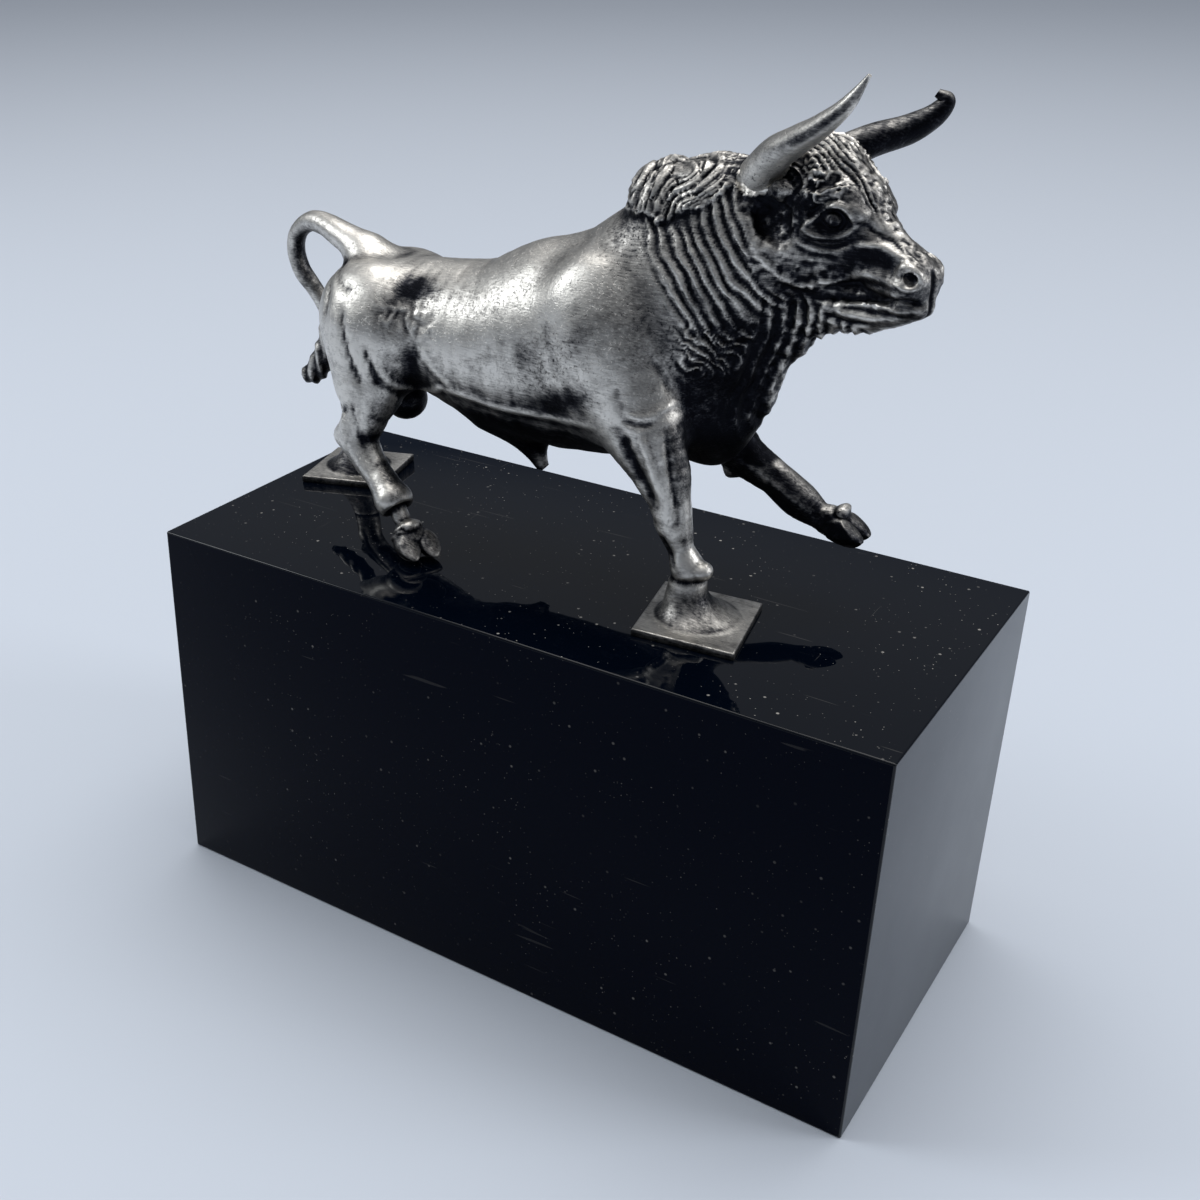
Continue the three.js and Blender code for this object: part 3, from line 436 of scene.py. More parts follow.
bodyForms = [
    limb(trunk, 4),
    limb(neck, 4),
    mass((11.7, 0, 54.2), (5.6, 5.8, 7.1), 1.2),  # crest, behind
    mass((19, 0, 55.6), (7.5, 5.8, 7.0), 1.5),  # crest, in front
    mass((18, 0, 28), (7.6, 6.6, 7.0), 3.5),  # brisket
    limb(dewlap, 2.5),
    *bothSides(lambda side: mass((6, side * 7.6, 36), (8.5, 4.8, 12.5), 4, 14)),  # shoulders
    *bothSides(lambda side: mass((-35, side * 5.2, 33), (9, 5.4, 8.8), 3.5)),  # haunches
    mass((-33, 0, 19.5), (3.6, 3.2, 3.4), 1.5),  # scrotum
    limb([(-16, 0, 20.5, 2.6, 1.2), (-10, 0, 17.4, 2.4, 0.9), (-7.4, 0, 13.6, 1.0)], 3),  # sheath
    limb(nearForeLeg, 2.5),
    limb(farForeLeg, 2.5),
    limb(nearHindLeg, 2.5),
    limb(nearHindPastern, 0.5),
    limb(farHindLeg, 2.5),
    mass((-38.0, -9.8, 15.2), (1.7, 1.3, 1.7), 1.4, 30),  # point of the near hock
    mass((-52.6, 9.2, 17.2), (1.6, 1.3, 1.9), 1.4, 20),  # point of the far hock
    mass((24.7, -9.3, 8.2), (1.2, 1.5, 1.3), 0.8),  # fetlock of the near foreleg
    mass((37.6, 7.3, 14.6), (0.9, 1.8, 0.9), 0.6),  # dewclaws of the raised foreleg
    mass((20.4, 6.8, 16.9), (1.2, 1.1, 1.2), 0.8),  # elbow of the raised foreleg
    mass((-39, 0.1, 41.4), (5, 3.2, 2.6), 2.5, -12),  # root of the tail
    *headForms,
]

# these are added after the head's hollows are cut
castOnForms = [
    *bothSides(lambda side: headMass((3.8, side * 4.0, 1.3), (1.5, 1.1, 1.3), 0.15)),  # eyeballs
    *bothSides(lambda side: headLimb(mirrored(ear, side), 0.5)),
    limb(tail, 1.2),
    *hoofForms(nearHindHoof, 0.25),
    *hoofForms(farForeHoof, 0.25),
]


def bullField(points):
    nearest = np.full(len(points), farOff)
    for sign, forms in ((1, bodyForms), (-1, headHollows), (1, castOnForms)):
        for form in forms:
            near = ((points > form["low"] - formReach) & (points < form["high"] + formReach)).all(1)
            if near.any():
                met = smoothMin(sign * nearest[near], form["distance"](points[near]), form["blend"])
                nearest[near] = sign * met
    return nearest


def fieldSlope(points):
    here = bullField(points)
    slope = np.stack([(bullField(points + slopeStep * axis) - here) / slopeStep for axis in np.eye(3)], 1)
    return here, slope


def drawToField(points, rounds):
    for _ in range(rounds):
        here, slope = fieldSlope(points)
        move = -(here / np.maximum((slope * slope).sum(1), 0.2))[:, None] * slope
        length = np.sqrt((move * move).sum(1))
        points = points + move * np.minimum(1, longestMove / np.maximum(length, 1e-9))[:, None]
    return points


# mesh points as arrays in the bull's frame

def inBullFrame(places):
    return places.astype(float) / mm - bullPlace


def inWorld(points):
    return (np.array(points) + bullPlace) * mm


def pointsOf(piece):
    return inBullFrame(readRows(piece.data.vertices, "co", 3))


def setPoints(piece, points):
    piece.data.vertices.foreach_set("co", inWorld(points).astype(np.float32).ravel())
    piece.data.update()


def meanOfNeighbours(values, edges, count):
    total = np.zeros((count, values.shape[1]))
    for axis in range(values.shape[1]):
        total[:, axis] = (np.bincount(edges[:, 0], values[edges[:, 1], axis], count)
                          + np.bincount(edges[:, 1], values[edges[:, 0], axis], count))
    links = np.bincount(edges.ravel(), minlength=count)
    return total / np.maximum(links, 1)[:, None]


def evenOut(piece, rounds, strength=0.5):
    points = pointsOf(piece)
    edges = readRows(piece.data.edges, "vertices", 2, np.int32)
    for _ in range(rounds):
        mean = meanOfNeighbours(points, edges, len(points))
        points = drawToField(points + strength * (mean - points), 1)
    setPoints(piece, drawToField(points, 2))


def refineWhere(piece, wanted):
    mesh = piece.data
    chosen = wanted(inBullFrame(readRows(mesh.polygons, "center", 3)))
    makeActive(piece)
    bpy.ops.object.mode_set(mode="EDIT")
    bpy.ops.mesh.select_mode(type="FACE")
    bpy.ops.mesh.select_all(action="DESELECT")
    bpy.ops.object.mode_set(mode="OBJECT")
    mesh.polygons.foreach_set("select", chosen)
    bpy.ops.object.mode_set(mode="EDIT")
    bpy.ops.mesh.subdivide(number_cuts=1)
    bpy.ops.object.mode_set(mode="OBJECT")
    print("  refined", int(chosen.sum()), "faces, now", len(mesh.polygons))


# the cast: the CAD bull copied, freed of horns and plates, remeshed and drawn to the smooth forms

cast = {
    "voxel": 0.69,
    "hornCut": 3.2,  # how far up its curve each horn is cut off, in millimetres
    "hornBox": (9.4, 9.4, 24),  # the box that cuts it
    "plateCut": 6.0,  # height under which the two standing legs are cut off their plates
    "plateBox": (24, 24, 20),
}


def cutAway(piece, at, size, turn=None):
    bpy.ops.mesh.primitive_cube_add(size=1)
    cutter = bpy.context.object
    cutter.matrix_world = Matrix.LocRotScale(Vector(inWorld(at)), turn, Vector(size) * mm)
    combine(piece, cutter, "DIFFERENCE")


def cutHorn(piece, rows):
    stations = stationsOf(rows, 8)[:, :3]
    run = np.cumsum(np.r_[0, np.linalg.norm(np.diff(stations, axis=0), axis=1)])
    at = int(np.argmax(run > cast["hornCut"]))
    along = Vector(stations[at + 1] - stations[at]).normalized()
    middle = stations[at] + np.array(along) * cast["hornBox"][2] / 2
    cutAway(piece, middle, cast["hornBox"], along.to_track_quat("Z", "Y"))


def startCast():
    piece = cadNodes["bull"].copy()
    piece.data = cadNodes["bull"].data.copy()
    piece.parent = None
    piece.name = "bull_cast"
    piece.data.materials.clear()
    bpy.context.scene.collection.objects.link(piece)
    cleanMesh(piece)
    for plate in plates:
        cutAway(piece, (*plate["at"], cast["plateCut"] - cast["plateBox"][2] / 2), cast["plateBox"])
    for rows in (nearHorn, farHorn):
        cutHorn(piece, rows)
    remesh = piece.modifiers.new("remesh", "REMESH")
    remesh.mode = "VOXEL"
    remesh.voxel_size = cast["voxel"] * mm
    applyModifiers(piece)
    return piece


bull = startCast()
print("cast remeshed:", len(bull.data.vertices), "points")
evenOut(bull, 2)
print("cast drawn to its forms")


# how shut in each point is, from short rays over the skin and the plinth's top; the silver's colour is darkened by it
# as painted shade

shelter = {"rays": 14, "lift": 0.4, "reach": 22.0, "plinthReach": 1.5, "plinthDarkness": 0.75}


def storeValue(piece, name, values):
    attribute = piece.data.attributes.new(name, "FLOAT", "POINT")
    attribute.data.foreach_set("value", np.clip(values, 0, 1).astype(np.float32))


def readValue(piece, name):
    return readRows(piece.data.attributes[name].data, "value", 1)[:, 0].astype(float)


def measureShelter(piece):
    tree = BVHTree.FromObject(piece, bpy.context.evaluated_depsgraph_get())
    count = shelter["rays"]
    golden = math.pi * (3 - math.sqrt(5))
    hemisphere = []
    for i in range(count):
        height = math.sqrt((i + 0.5) / count)
        flat = math.sqrt(1 - height * height)
        hemisphere.append(Vector((flat * math.cos(golden * i), flat * math.sin(golden * i), height)))
    reach = shelter["reach"] * mm
    top = bullPlace[2] * mm
    values = []
    for vertex in piece.data.vertices:
        turn = vertex.normal.to_track_quat("Z", "Y")
        start = vertex.co + vertex.normal * (shelter["lift"] * mm)
        hidden = 0
        for ray in hemisphere:
            aim = turn @ ray
            if tree.ray_cast(start, aim, reach)[0] is not None:
                hidden += 1
            elif aim.z < 0 and (start.z - top) < -aim.z * reach * shelter["plinthReach"]:
                hidden += shelter["plinthDarkness"]
        values.append(hidden / count)
    storeValue(piece, "shelterShade", values)


measureShelter(bull)
print("shelter measured")


# carving in relief: heights in millimetres, added along the skin's outward direction

cellMix = np.array([374761393, 668265263, 1103515245])  # large odd numbers that scramble a cell's place
seedMix = 1274126177


def cellNoise(cells, seed):
    # a fixed value between -1 and 1 for each cell
    mixed = (cells @ cellMix + seed * seedMix) & 0xFFFFFFFF
    mixed = ((mixed ^ (mixed >> 13)) * seedMix) & 0xFFFFFFFF
    return ((mixed ^ (mixed >> 16)) & 0xFFFF) / 32767.5 - 1


def unevenness(points, size, seed):
    # smooth noise between -1 and 1, with lumps of the given size
    place = points / size
    cell = np.floor(place).astype(np.int64)
    part = ease(place - cell, 0, 1)
    total = np.zeros(len(points))
    for corner in range(8):
        step = np.array([corner & 1, (corner >> 1) & 1, corner >> 2])
        weight = np.where(step, part, 1 - part).prod(1)
        total += weight * cellNoise(cell + step, seed)
    return total


def lumpy(points, *layers):
    # layers of that noise, each by its amount, the size of its lumps and its seed
    return sum(amount * unevenness(points, size, seed) for amount, size, seed in layers)


def band(value, start, full, fade, end):
    return ease(value, start, full) * ease(value, end, fade)


def between(value, low, high):
    return (value > low) & (value < high)


def alongPath(path, a, b):
    # distance from a flat path of points, and how far along it, from 0 to 1
    path = np.array(path, float)
    nearest = np.full(len(a), 1e3)
    place = np.zeros(len(a))
    for i in range(len(path) - 1):
        step = path[i + 1] - path[i]
        part = np.clip(((a - path[i, 0]) * step[0] + (b - path[i, 1]) * step[1]) / (step @ step), 0, 1)
        off = np.hypot(a - path[i, 0] - part * step[0], b - path[i, 1] - part * step[1])
        closer = off < nearest
        nearest = np.where(closer, off, nearest)
        place = np.where(closer, (i + part) / (len(path) - 1), place)
    return nearest, place


def nearPath(path, width, a, b):
    return np.exp(-((alongPath(path, a, b)[0] / width) ** 2))


def levelOn(path, place):
    # the height of a path of points at a place along it
    return np.interp(place, *np.array(path).T)


folds = {"pivot": (66, 82), "first": 61.6, "last": 46.6, "pitch": 1.5, "height": 0.46}
chest = {
    "ridge": [(28.9, 25.0), (33.3, 25.7), (37.3, 27.1), (41.0, 28.4), (43.8, 28.9)],  # z, x of its rearmost ridge
    "pitch": 1.6, "height": 0.5,
}
mane = {
    "lowEdge": [(5.5, 57.0), (7.5, 54.6), (13.3, 54.2), (16, 56), (19, 56.8), (21.5, 58.7), (24.3, 61.2), (28.5, 64)],
    "ledge": [(10.2, 60.2), (13.5, 61.6), (18.0, 62.3), (22.5, 62.2)],
    "pivot": (37, 39.4), "width": 1.1, "length": 5.5, "height": 0.8, "proud": 0.45,
}
curls = {
    "edge": [(-6.0, 3.0), (-2.6, 3.6), (-0.3, 4.9), (2.3, 5.7), (5.0, 5.4), (6.9, 4.4), (10.3, 2.7), (14.5, 1.5)],
    "crest": [(-6, 8.0), (-3, 8.2), (0.3, 7.3), (3.8, 6.5), (6.7, 5.0), (10.6, 3.4), (13.8, 2.1), (16.3, 2.0)],
    "size": 1.15, "height": 0.5, "strandPitch": 0.95,
}


def creaseWave(place, sharp):
    # sharp crests with rounded valleys, from -0.5 to 0.5
    return (1 - np.abs(2 * (place - np.floor(place)) - 1)) ** sharp - 0.5


def headShare(points):
    u, _, w = headSpace(points).T
    return ease(u + 0.75 * (np.minimum(w, 0) + 3.9), -5.9, -4.8) * ease(w, -11.0, -9.6)


def neckFolds(points):
    # nearly straight folds, round a far point over the nose, from the mane down to the throat
    x, y, z = points.T
    dx, dz = folds["pivot"][0] - x, folds["pivot"][1] - z
    radius = np.hypot(dx, dz)
    angle = np.degrees(np.arctan2(dz, dx))
    first, last = folds["first"], folds["last"]
    place = (first - radius) / folds["pitch"] + lumpy(points, (0.6, 6, 1), (0.26, 2.4, 2), (0.08, 1.1, 20))
    inside = band(radius, last - 0.6, last + 0.6, first - 1.5, first + 1.5)
    inside *= band(angle, 20, 24, 43.5, 47) * ease(np.abs(y), 0.4, 2.0)
    inside *= (1 - maneShare(points)) * (1 - headShare(points))
    height = folds["height"] * (0.9 + lumpy(points, (0.75, 3, 3)))
    fine = 0.25 * creaseWave(place * 2 + lumpy(points, (0.3, 2.2, 34)), 1.2)
    return (creaseWave(place, 1.5) + fine) * height * inside


def chestFolds(points):
    # long ridges run down the dewlap, side by side with its front edge, with curls between them and the neck folds
    x, y, z = points.T
    ahead = x - levelOn(chest["ridge"], z)
    place = ahead / chest["pitch"] + 0.5 + lumpy(points, (0.3, 5, 4), (0.12, 1.8, 5))
    inside = ease(ahead, -1.6, -0.6) * band(z, 26, 29, 45, 48) * (1 - headShare(points))
    crumbs = lumpy(points, (0.2, 0.7, 21), (0.22, 1.4, 22))
    ridges = (creaseWave(place, 1.3) * chest["height"] + crumbs * ease(ahead, 0.4, 1.6)) * inside
    curly = band(x, 17.0, 20, 27, 29) * band(z, 33.5, 37, 41, 43.5) * (1 - inside) * ease(-y, 10, 8.6)
    curl = (x * 0.75 + z * 0.66) / 1.3 + lumpy(points, (1.5, 2.4, 35), (0.4, 1.0, 36))
    return ridges + curly * 0.42 * creaseWave(curl, 1.3)


def throatLumps(points, u, w):
    inside = band(u, 1, 4, 14, 16.5) * band(w, -17, -15, -9.8, -7.6)
    return inside * lumpy(points, (0.26, 1.25, 23), (0.12, 0.6, 24))


def maneShare(points):
    x, y, z = points.T
    over = z - levelOn(mane["lowEdge"], x) + lumpy(points, (0.9, 2.2, 6), (0.4, 0.9, 7))
    return ease(over, -0.35, 0.35) * band(x, 5.6, 6.6, 27.5, 30.5)


def lockLayer(across, along, seed, width, length):
    row = np.floor(across / width)
    shift = cellNoise(np.stack([row, row * 0, row * 0 + seed], 1).astype(np.int64), seed)
    place = along / length + shift
    cell = np.floor(place)
    part = place - cell  # 0 at the pointed tip, 1 at the root
    size = cellNoise(np.stack([row, cell, row * 0], 1).astype(np.int64), seed + 9)
    side = 2 * (across / width - row) - 1
    half = np.clip(part * 2.6, 0.02, 1) ** 0.75
    dome = np.sqrt(np.clip(1 - (side / half) ** 2, 0, 1))
    return dome * (0.95 - 0.45 * part) * (0.85 + 0.25 * size)


def maneLocks(points):
    # the locks sweep back and down, on curves round a point low in the chest
    x, y, z = points.T
    dx, dz = mane["pivot"][0] - x, z - mane["pivot"][1]
    radius = np.hypot(dx, dz)
    along = 30 * np.arctan2(dz, dx) + 0.2 * np.abs(y)
    across = -radius - 0.5 * np.abs(y)
    across += 0.4 * np.sin(along / 1.1 + lumpy(points, (2.5, 5, 8)))
    across += lumpy(points, (0.8, 4, 9), (0.3, 1.5, 10))
    first = lockLayer(across, along, 11, mane["width"], mane["length"])
    second = lockLayer(across + 0.6, along + 2.7, 23, mane["width"] * 1.25, mane["length"] * 0.8)
    strands = 0.08 * np.sin(across * 2 * math.pi / 0.45)
    proud = mane["proud"] * (1 - 0.6 * ease(z, 56, 63))
    locks = mane["height"] * (np.maximum(first, second * 0.85) - 0.5) * (1 - 0.5 * ease(z, 61.5, 63))
    parting = 0.5 * nearPath(mane["ledge"], 0.35, x, z) * (y < 0)
    return maneShare(points) * (proud + locks + strands - parting)


def wormRidges(points, size, seed):
    winding = unevenness(points, size, seed) + 0.35 * unevenness(points, size * 0.47, seed + 1)
    return np.clip(1 - np.abs(winding) * 3.0, 0, 1)


def wormPatch(u, v, w):
    # the tightly curled patch over each eye
    off = np.hypot((u - 1.2) / 3.0, (w - 4.3 - 0.15 * (u - 1.2)) / 1.9)
    return ease(off, 1.15, 0.8) * ease(np.abs(v), 2.6, 3.4)


def foreheadCurls(points, onHeadPoints):
    # strands fan down from the poll, side by side with the profile; tight curls over the eyes, crumbs on the nose
    u, v, w = onHeadPoints.T
    under = levelOn(curls["crest"], u) - w + 0.8 * np.abs(v)
    inside = ease(w - levelOn(curls["edge"], u) + lumpy(points, (0.4, 1.3, 12)), -0.3, 0.5)
    inside *= band(u, -6.5, -5, 14.5, 17)
    wander = lumpy(points, (0.5, 3.5, 25), (0.2, 1.2, 26))
    strands = creaseWave(under / curls["strandPitch"] + wander, 1.3)
    overEyes = wormPatch(u, v, w)
    worms = wormRidges(points, curls["size"], 13) - 0.3
    crumbs = lumpy(points, (0.4, 0.55, 27), (0.35, 1.0, 28))
    onRidge = ease(np.abs(v), 1.6, 1.1) * ease(u, -1, 1.5)
    hair = strands * (1 - overEyes) * inside
    return curls["height"] * (hair * (1 - onRidge) + worms * overEyes + crumbs * onRidge * inside)


# strokes drawn on the head's side: path (u, w), width, and height of a ridge (+) or a crease (-)
faceStrokes = [
    ([(3.2, 1.2), (3.6, 2.3), (4.6, 2.6), (5.5, 1.9), (5.4, 0.8), (4.4, 0.3), (3.4, 0.6), (3.2, 1.2)],
     0.26, -0.26),  # iris
    ([(4.2, 1.4), (4.6, 1.5)], 0.5, 0.22),
    ([(1.5, -1.1), (2.1, 0.6), (3.1, 2.6), (4.6, 3.5), (5.9, 3.1), (6.8, 1.8)], 0.36, 0.42),  # upper lid
    ([(1.5, -1.1), (3.1, -1.2), (5.2, -0.5), (6.4, 0.7), (6.8, 1.8)], 0.36, 0.3),  # lower lid
    ([(1.2, 0.2), (2.3, 2.6), (4.0, 4.3), (6.0, 4.2)], 0.3, -0.25),  # crease over the lid
    ([(1.4, -2.3), (3.6, -2.4), (5.8, -1.6), (7.4, 0.2)], 0.35, -0.28),  # crease under the eye
    ([(1.0, -3.4), (3.6, -3.6), (6.2, -2.8)], 0.4, -0.2),
    ([(-0.3, 1.8), (1.7, 3.7), (3.2, 4.9), (4.8, 4.9), (6.9, 3.7)], 0.5, 0.35),  # brow
    ([(8.0, 0.0), (9.4, 0.7), (11.2, 1.3), (13.3, 1.3), (15.4, 1.6)], 0.5, 0.45),  # nasal ridge
    ([(7.4, 2.4), (9.5, 2.2), (12.0, 2.4), (14.0, 2.3)], 0.4, -0.3),  # groove over it
    ([(8.4, -1.4), (10.5, -0.6), (12.6, -0.3), (14.4, -0.5)], 0.8, -0.3),  # hollow before the nostril
    ([(13.9, -0.2), (14.6, 0.9), (15.8, 1.2), (17.0, 0.9), (17.6, -0.2), (16.6, -1.1), (15.0, -1.3)], 0.35, 0.22),
    ([(15.0, -0.4), (15.7, 0.2), (16.4, 0.3)], 0.4, -0.35),  # nostril
    ([(-2.9, -4.9), (-2.0, -6.3), (1.4, -8.0), (4.0, -8.1), (6.6, -5.9), (10.6, -2.6), (14.5, -1.7)], 0.55, 0.38),
    ([(5.4, -9.3), (8.2, -7.6), (10.9, -6.1), (14.0, -4.3), (16.7, -2.9), (18.6, -2.3)], 0.42, -0.6),  # mouth
    ([(8.2, -5.6), (11.0, -4.3), (14.0, -3.1), (17.0, -2.2)], 0.45, 0.22),  # upper lip
    ([(10.0, -7.0), (12.5, -5.9), (14.6, -5.1), (16.8, -4.3), (18.6, -3.2)], 0.4, 0.32),  # lower lip
    ([(9.6, -8.0), (12.2, -6.9), (15.0, -5.9), (17.4, -4.9)], 0.3, -0.28),
    ([(8.5, -9.3), (11.5, -8.3), (14.5, -7.0)], 0.35, 0.25),
    ([(7.5, -10.3), (10.5, -9.7), (13.5, -8.3)], 0.3, -0.25),
]
# strokes drawn on the body's side: path (x, z), width, height
bothSidesStrokes = [
    ([(-36.4, 36.0), (-35.7, 33.0), (-34.1, 28.0), (-32.4, 24.8)], 0.7, -0.35),  # thigh grooves
    ([(-31.6, 31.0), (-30.6, 27.6), (-29.9, 24.9)], 0.6, -0.35),
    ([(-22.6, 31.6), (-21.0, 29.6), (-17.6, 26.7)], 0.55, 0.25),  # flank fold
    ([(-29.6, 29.0), (-28.9, 26.7), (-27.6, 24.9), (-24.5, 24.6), (-21.5, 25.3), (-19.6, 26.4)], 0.45, 0.38),
    ([(-20.4, 26.0), (-15, 26.0), (-9, 25.4), (-3, 25.6), (2, 25.9), (7.9, 26.6)], 0.5, 0.32),  # edge of the belly
    ([(13.6, 29.9), (15.6, 29.8), (17.0, 30.3), (18.2, 31.5)], 0.45, 0.2),  # drape of the shoulder
    ([(13.2, 28.9), (15.6, 28.8), (17.2, 29.1)], 0.45, -0.2),
    ([(18.0, 32.6), (17.1, 34.6), (15.3, 37.5)], 0.5, -0.2),
    ([(19.3, 32.4), (19.3, 34.4), (18.6, 37.5)], 0.4, 0.1),
    ([(11.4, 33.6), (12.4, 30.9), (13.9, 28.2)], 0.8, -0.2),
    ([(-0.8, 41), (0.9, 36), (4.0, 30.5), (8.0, 26.5)], 1.1, -0.1),  # behind the shoulder
    ([(-41.6, 41.2), (-38.6, 39.2), (-34.5, 38.6)], 0.6, -0.3),  # creases at the tail's root
    ([(-41.8, 39.2), (-40.2, 36.8), (-40.5, 33.5)], 0.6, -0.3),
]
nearSideStrokes = [
    ([(12.8, 27.4), (15.0, 22.9), (18.0, 17.2)], 1.0, -0.6),  # tendons of the near foreleg
    ([(15.6, 27.8), (17.4, 23.0), (19.3, 17.6)], 0.55, 0.36),
    ([(18.6, 28.0), (19.7, 23.5), (20.8, 18.0), (21.4, 14.6)], 0.5, -0.4),
    ([(16.6, 15.2), (18.6, 14.7), (21.6, 15.5)], 0.4, -0.25),
    ([(19.0, 13.2), (20.2, 11.0), (21.2, 8.6)], 0.4, -0.25),
    ([(-34.4, 22.0), (-33.4, 18.6), (-32.4, 15.2), (-29.6, 11.8)], 0.6, -0.25),  # tendons of the near hind leg
    ([(-37.0, 21.0), (-36.2, 17.6), (-34.2, 13.8), (-31.4, 11.2)], 0.5, 0.25),
]
farSideStrokes = [
    ([(19.5, 21.0), (24.5, 18.8), (29.0, 16.6), (33.0, 14.4)], 0.5, 0.25),  # tendons of the raised foreleg
    ([(19.5, 19.0), (24.5, 16.8), (29.0, 14.6), (33.0, 12.8)], 0.5, -0.25),
    ([(-43.0, 23.6), (-47.0, 20.0), (-50.2, 15.2), (-50.6, 10.0)], 0.5, -0.25),  # tendon of the far hind leg
]


def paintStrokes(strokes, a, b):
    total = np.zeros(len(a))
    for path, width, height in strokes:
        rows = [(across, 0, up) for across, up in path]
        places = np.linspace(0, len(rows) - 1, (len(rows) - 1) * curveSteps + 1)
        off, place = alongPath(curvePoints(rows, places)[:, [0, 2]], a, b)
        taper = band(place, -0.02, 0.18, 0.82, 1.02)
        total += height * np.exp(-((off / width) ** 2)) * (0.35 + 0.65 * taper)
    return total


def muzzleGroove(u, v, w):
    return np.exp(-((v / 0.5) ** 2)) * ease(u, 16.0, 17.2) * band(w, -5.0, -4.0, 0.8, 1.8)


def templeShare(points, u, v, w):
    # the rough dark hollow behind the eye, from the horn's base down to the cheek
    off = np.hypot((u + 2.9) / 4.5, (w - 0.5) / 4.9) + lumpy(points, (0.16, 1.6, 30))
    return ease(off, 1.15, 0.85) * ease(np.abs(v), 2.0, 3.0)


hipPatch = ((-25.8, 35.5), (4.4, 2.1), -0.12)  # rough patch on the near hip


def onPatch(x, z, at, half, tilt=0.0):
    # a soft patch on the side: its middle, half its length and height, and how much it rises forward
    return np.exp(-(((x - at[0]) / half[0]) ** 2 + ((z - at[1] - tilt * (x - at[0])) / half[1]) ** 2))


def ringsOnLeg(points):
    # cuff, pastern and dewclaw band of the near hind leg, by the distance down from the hock
    down = np.array([0.7065, -0.2264, -0.6703])  # along the cannon bone
    start = np.array(nearHindLeg[-2][:3])
    along = (points - start) @ down
    aside = np.linalg.norm(points - start - along[:, None] * down, axis=1)
    cuff = 0.6 * band(along, 2.5, 6.0, 6.1, 6.6)
    pastern = -0.45 * band(along, 6.2, 6.7, 8.6, 9.4)
    dewclaws = 0.35 * band(along, 9.2, 9.8, 10.3, 10.9)
    return (cuff + pastern + dewclaws) * (aside < 5)


def shapeHoof(points, hoof):
    # a slanting front and a flat sole, so that the claws end in a point
    turn = turnOf(hoof["pitch"], hoof["yaw"])
    centre = np.array(hoof["at"])
    a, b, c = ((points - centre) @ turn).T
    here = (a > -1.6) & (a < hoof["claw"][0] + 1) & (np.abs(b) < 4.2) & (np.abs(c) < 3)
    slant = np.maximum(hoof["front"] - hoof["slant"] * (a + 0.4), -hoof["sole"] + 0.25)
    c = np.where(here & (c > slant), slant + 0.4 * (c - slant), c)
    c = np.where(here, np.maximum(c, -hoof["sole"]), c)
    return centre + np.stack([a, b, c], 1) @ turn.T


def foreRelief(points):
    # all that is carved on the head, neck and chest
    x, y, z = points.T
    onHeadPoints = headSpace(points)
    u, v, w = onHeadPoints.T
    relief = neckFolds(points) + chestFolds(points) + maneLocks(points) + foreheadCurls(points, onHeadPoints)
    relief += paintStrokes(faceStrokes, u, w) * ease(np.abs(v), 0.9, 2.2) * (u > -8) + throatLumps(points, u, w)
    cheek = band(u, -4, -2, 9, 12) * band(w, -11, -8.5, -5, -3) * (np.abs(v) > 1)
    grainDepth = 0.22 * templeShare(points, u, v, w) + 0.14 * cheek + 0.05 * ease(u, 13, 15.5)
    relief += lumpy(points, (1, 0.55, 14), (0.6, 0.95, 15)) * grainDepth - 0.4 * muzzleGroove(u, v, w)
    dip = onPatch(x, z, (23.2, 31.5), (2.6, 3.6)) * ease(-y, 9.5, 8)  # between brisket and dewlap
    return relief - 0.5 * dip


def carvedHeight(points):
    x, y, z = points.T
    height = np.zeros(len(points))
    height[x > 2] = foreRelief(points[x > 2])
    tuft = ease(-x, 50.5, 52) * ease(z, 31, 26)
    bend = x * 0.85 + (z - 24) * 0.35 + 0.5 * np.sin(z / 2.2)
    height += tuft * 0.4 * creaseWave(bend / 1.9 + y * 0.3 + lumpy(points, (0.3, 3.5, 29)), 1.2)
    for strokes, onItsSide in ((bothSidesStrokes, 1), (nearSideStrokes, y < 0), (farSideStrokes, y > 0)):
        height += paintStrokes(strokes, x, z) * onItsSide * ease(np.abs(y), 2, 4.5)
    # a lightly uneven, hand-finished skin all over, rougher on the hip
    height += lumpy(points, (0.10, 5.5, 16), (0.045, 2.1, 17))
    hip = onPatch(x, z, *hipPatch) * (y < 0)
    height += hip * (0.26 * (wormRidges(points, 1.9, 18) - 0.35) + lumpy(points, (0.22, 1.1, 19)))
    return height + ringsOnLeg(points)


def raiseCarving(piece):
    points = pointsOf(piece)
    _, slope = fieldSlope(points)
    outward = slope / np.maximum(np.linalg.norm(slope, axis=1), 1e-6)[:, None]
    points = points + outward * carvedHeight(points)[:, None]
    for hoof in (nearHindHoof, farForeHoof):
        points = shapeHoof(points, hoof)
    setPoints(piece, points)


def onNearHindHoof(x, y, z):
    return between(x, -26, -14) & (y < -9) & (z < 5.2)


def carvedRegion(points):
    x, y, z = points.T
    upper = (np.hypot(x - 36, z - 60) < 38) & (x > 4) & (z > 30)
    chestFront = (x > 13) & between(z, 20, 46)
    feet = between(x, -31, -14) & (y < -8) | between(x, 17, 28) & (y < -5) | between(x, -56, -43) & (y > 4)
    raisedFoot = (x > 27) & (z < 19) & (y > 3)
    tuft = (x < -50) & (z < 30)
    hip = (np.hypot((x + 25.5) / 5.5, (z - 35.5) / 3.6) < 1) & (y < -4)
    return upper | chestFront | feet & (z < 13) | raisedFoot | tuft | hip


def finestRegion(points):
    x, y, z = points.T
    u, v, w = headSpace(points).T
    eyes = (np.hypot(u - 4.2, w - 1.4) < 4.0) & (np.abs(v) > 2)
    muzzle = (u > 13) & (w > -5.5) & (np.abs(v) < 6)
    return eyes | muzzle | onNearHindHoof(x, y, z) | (x > 34) & (y > 2) & (z < 15.5)


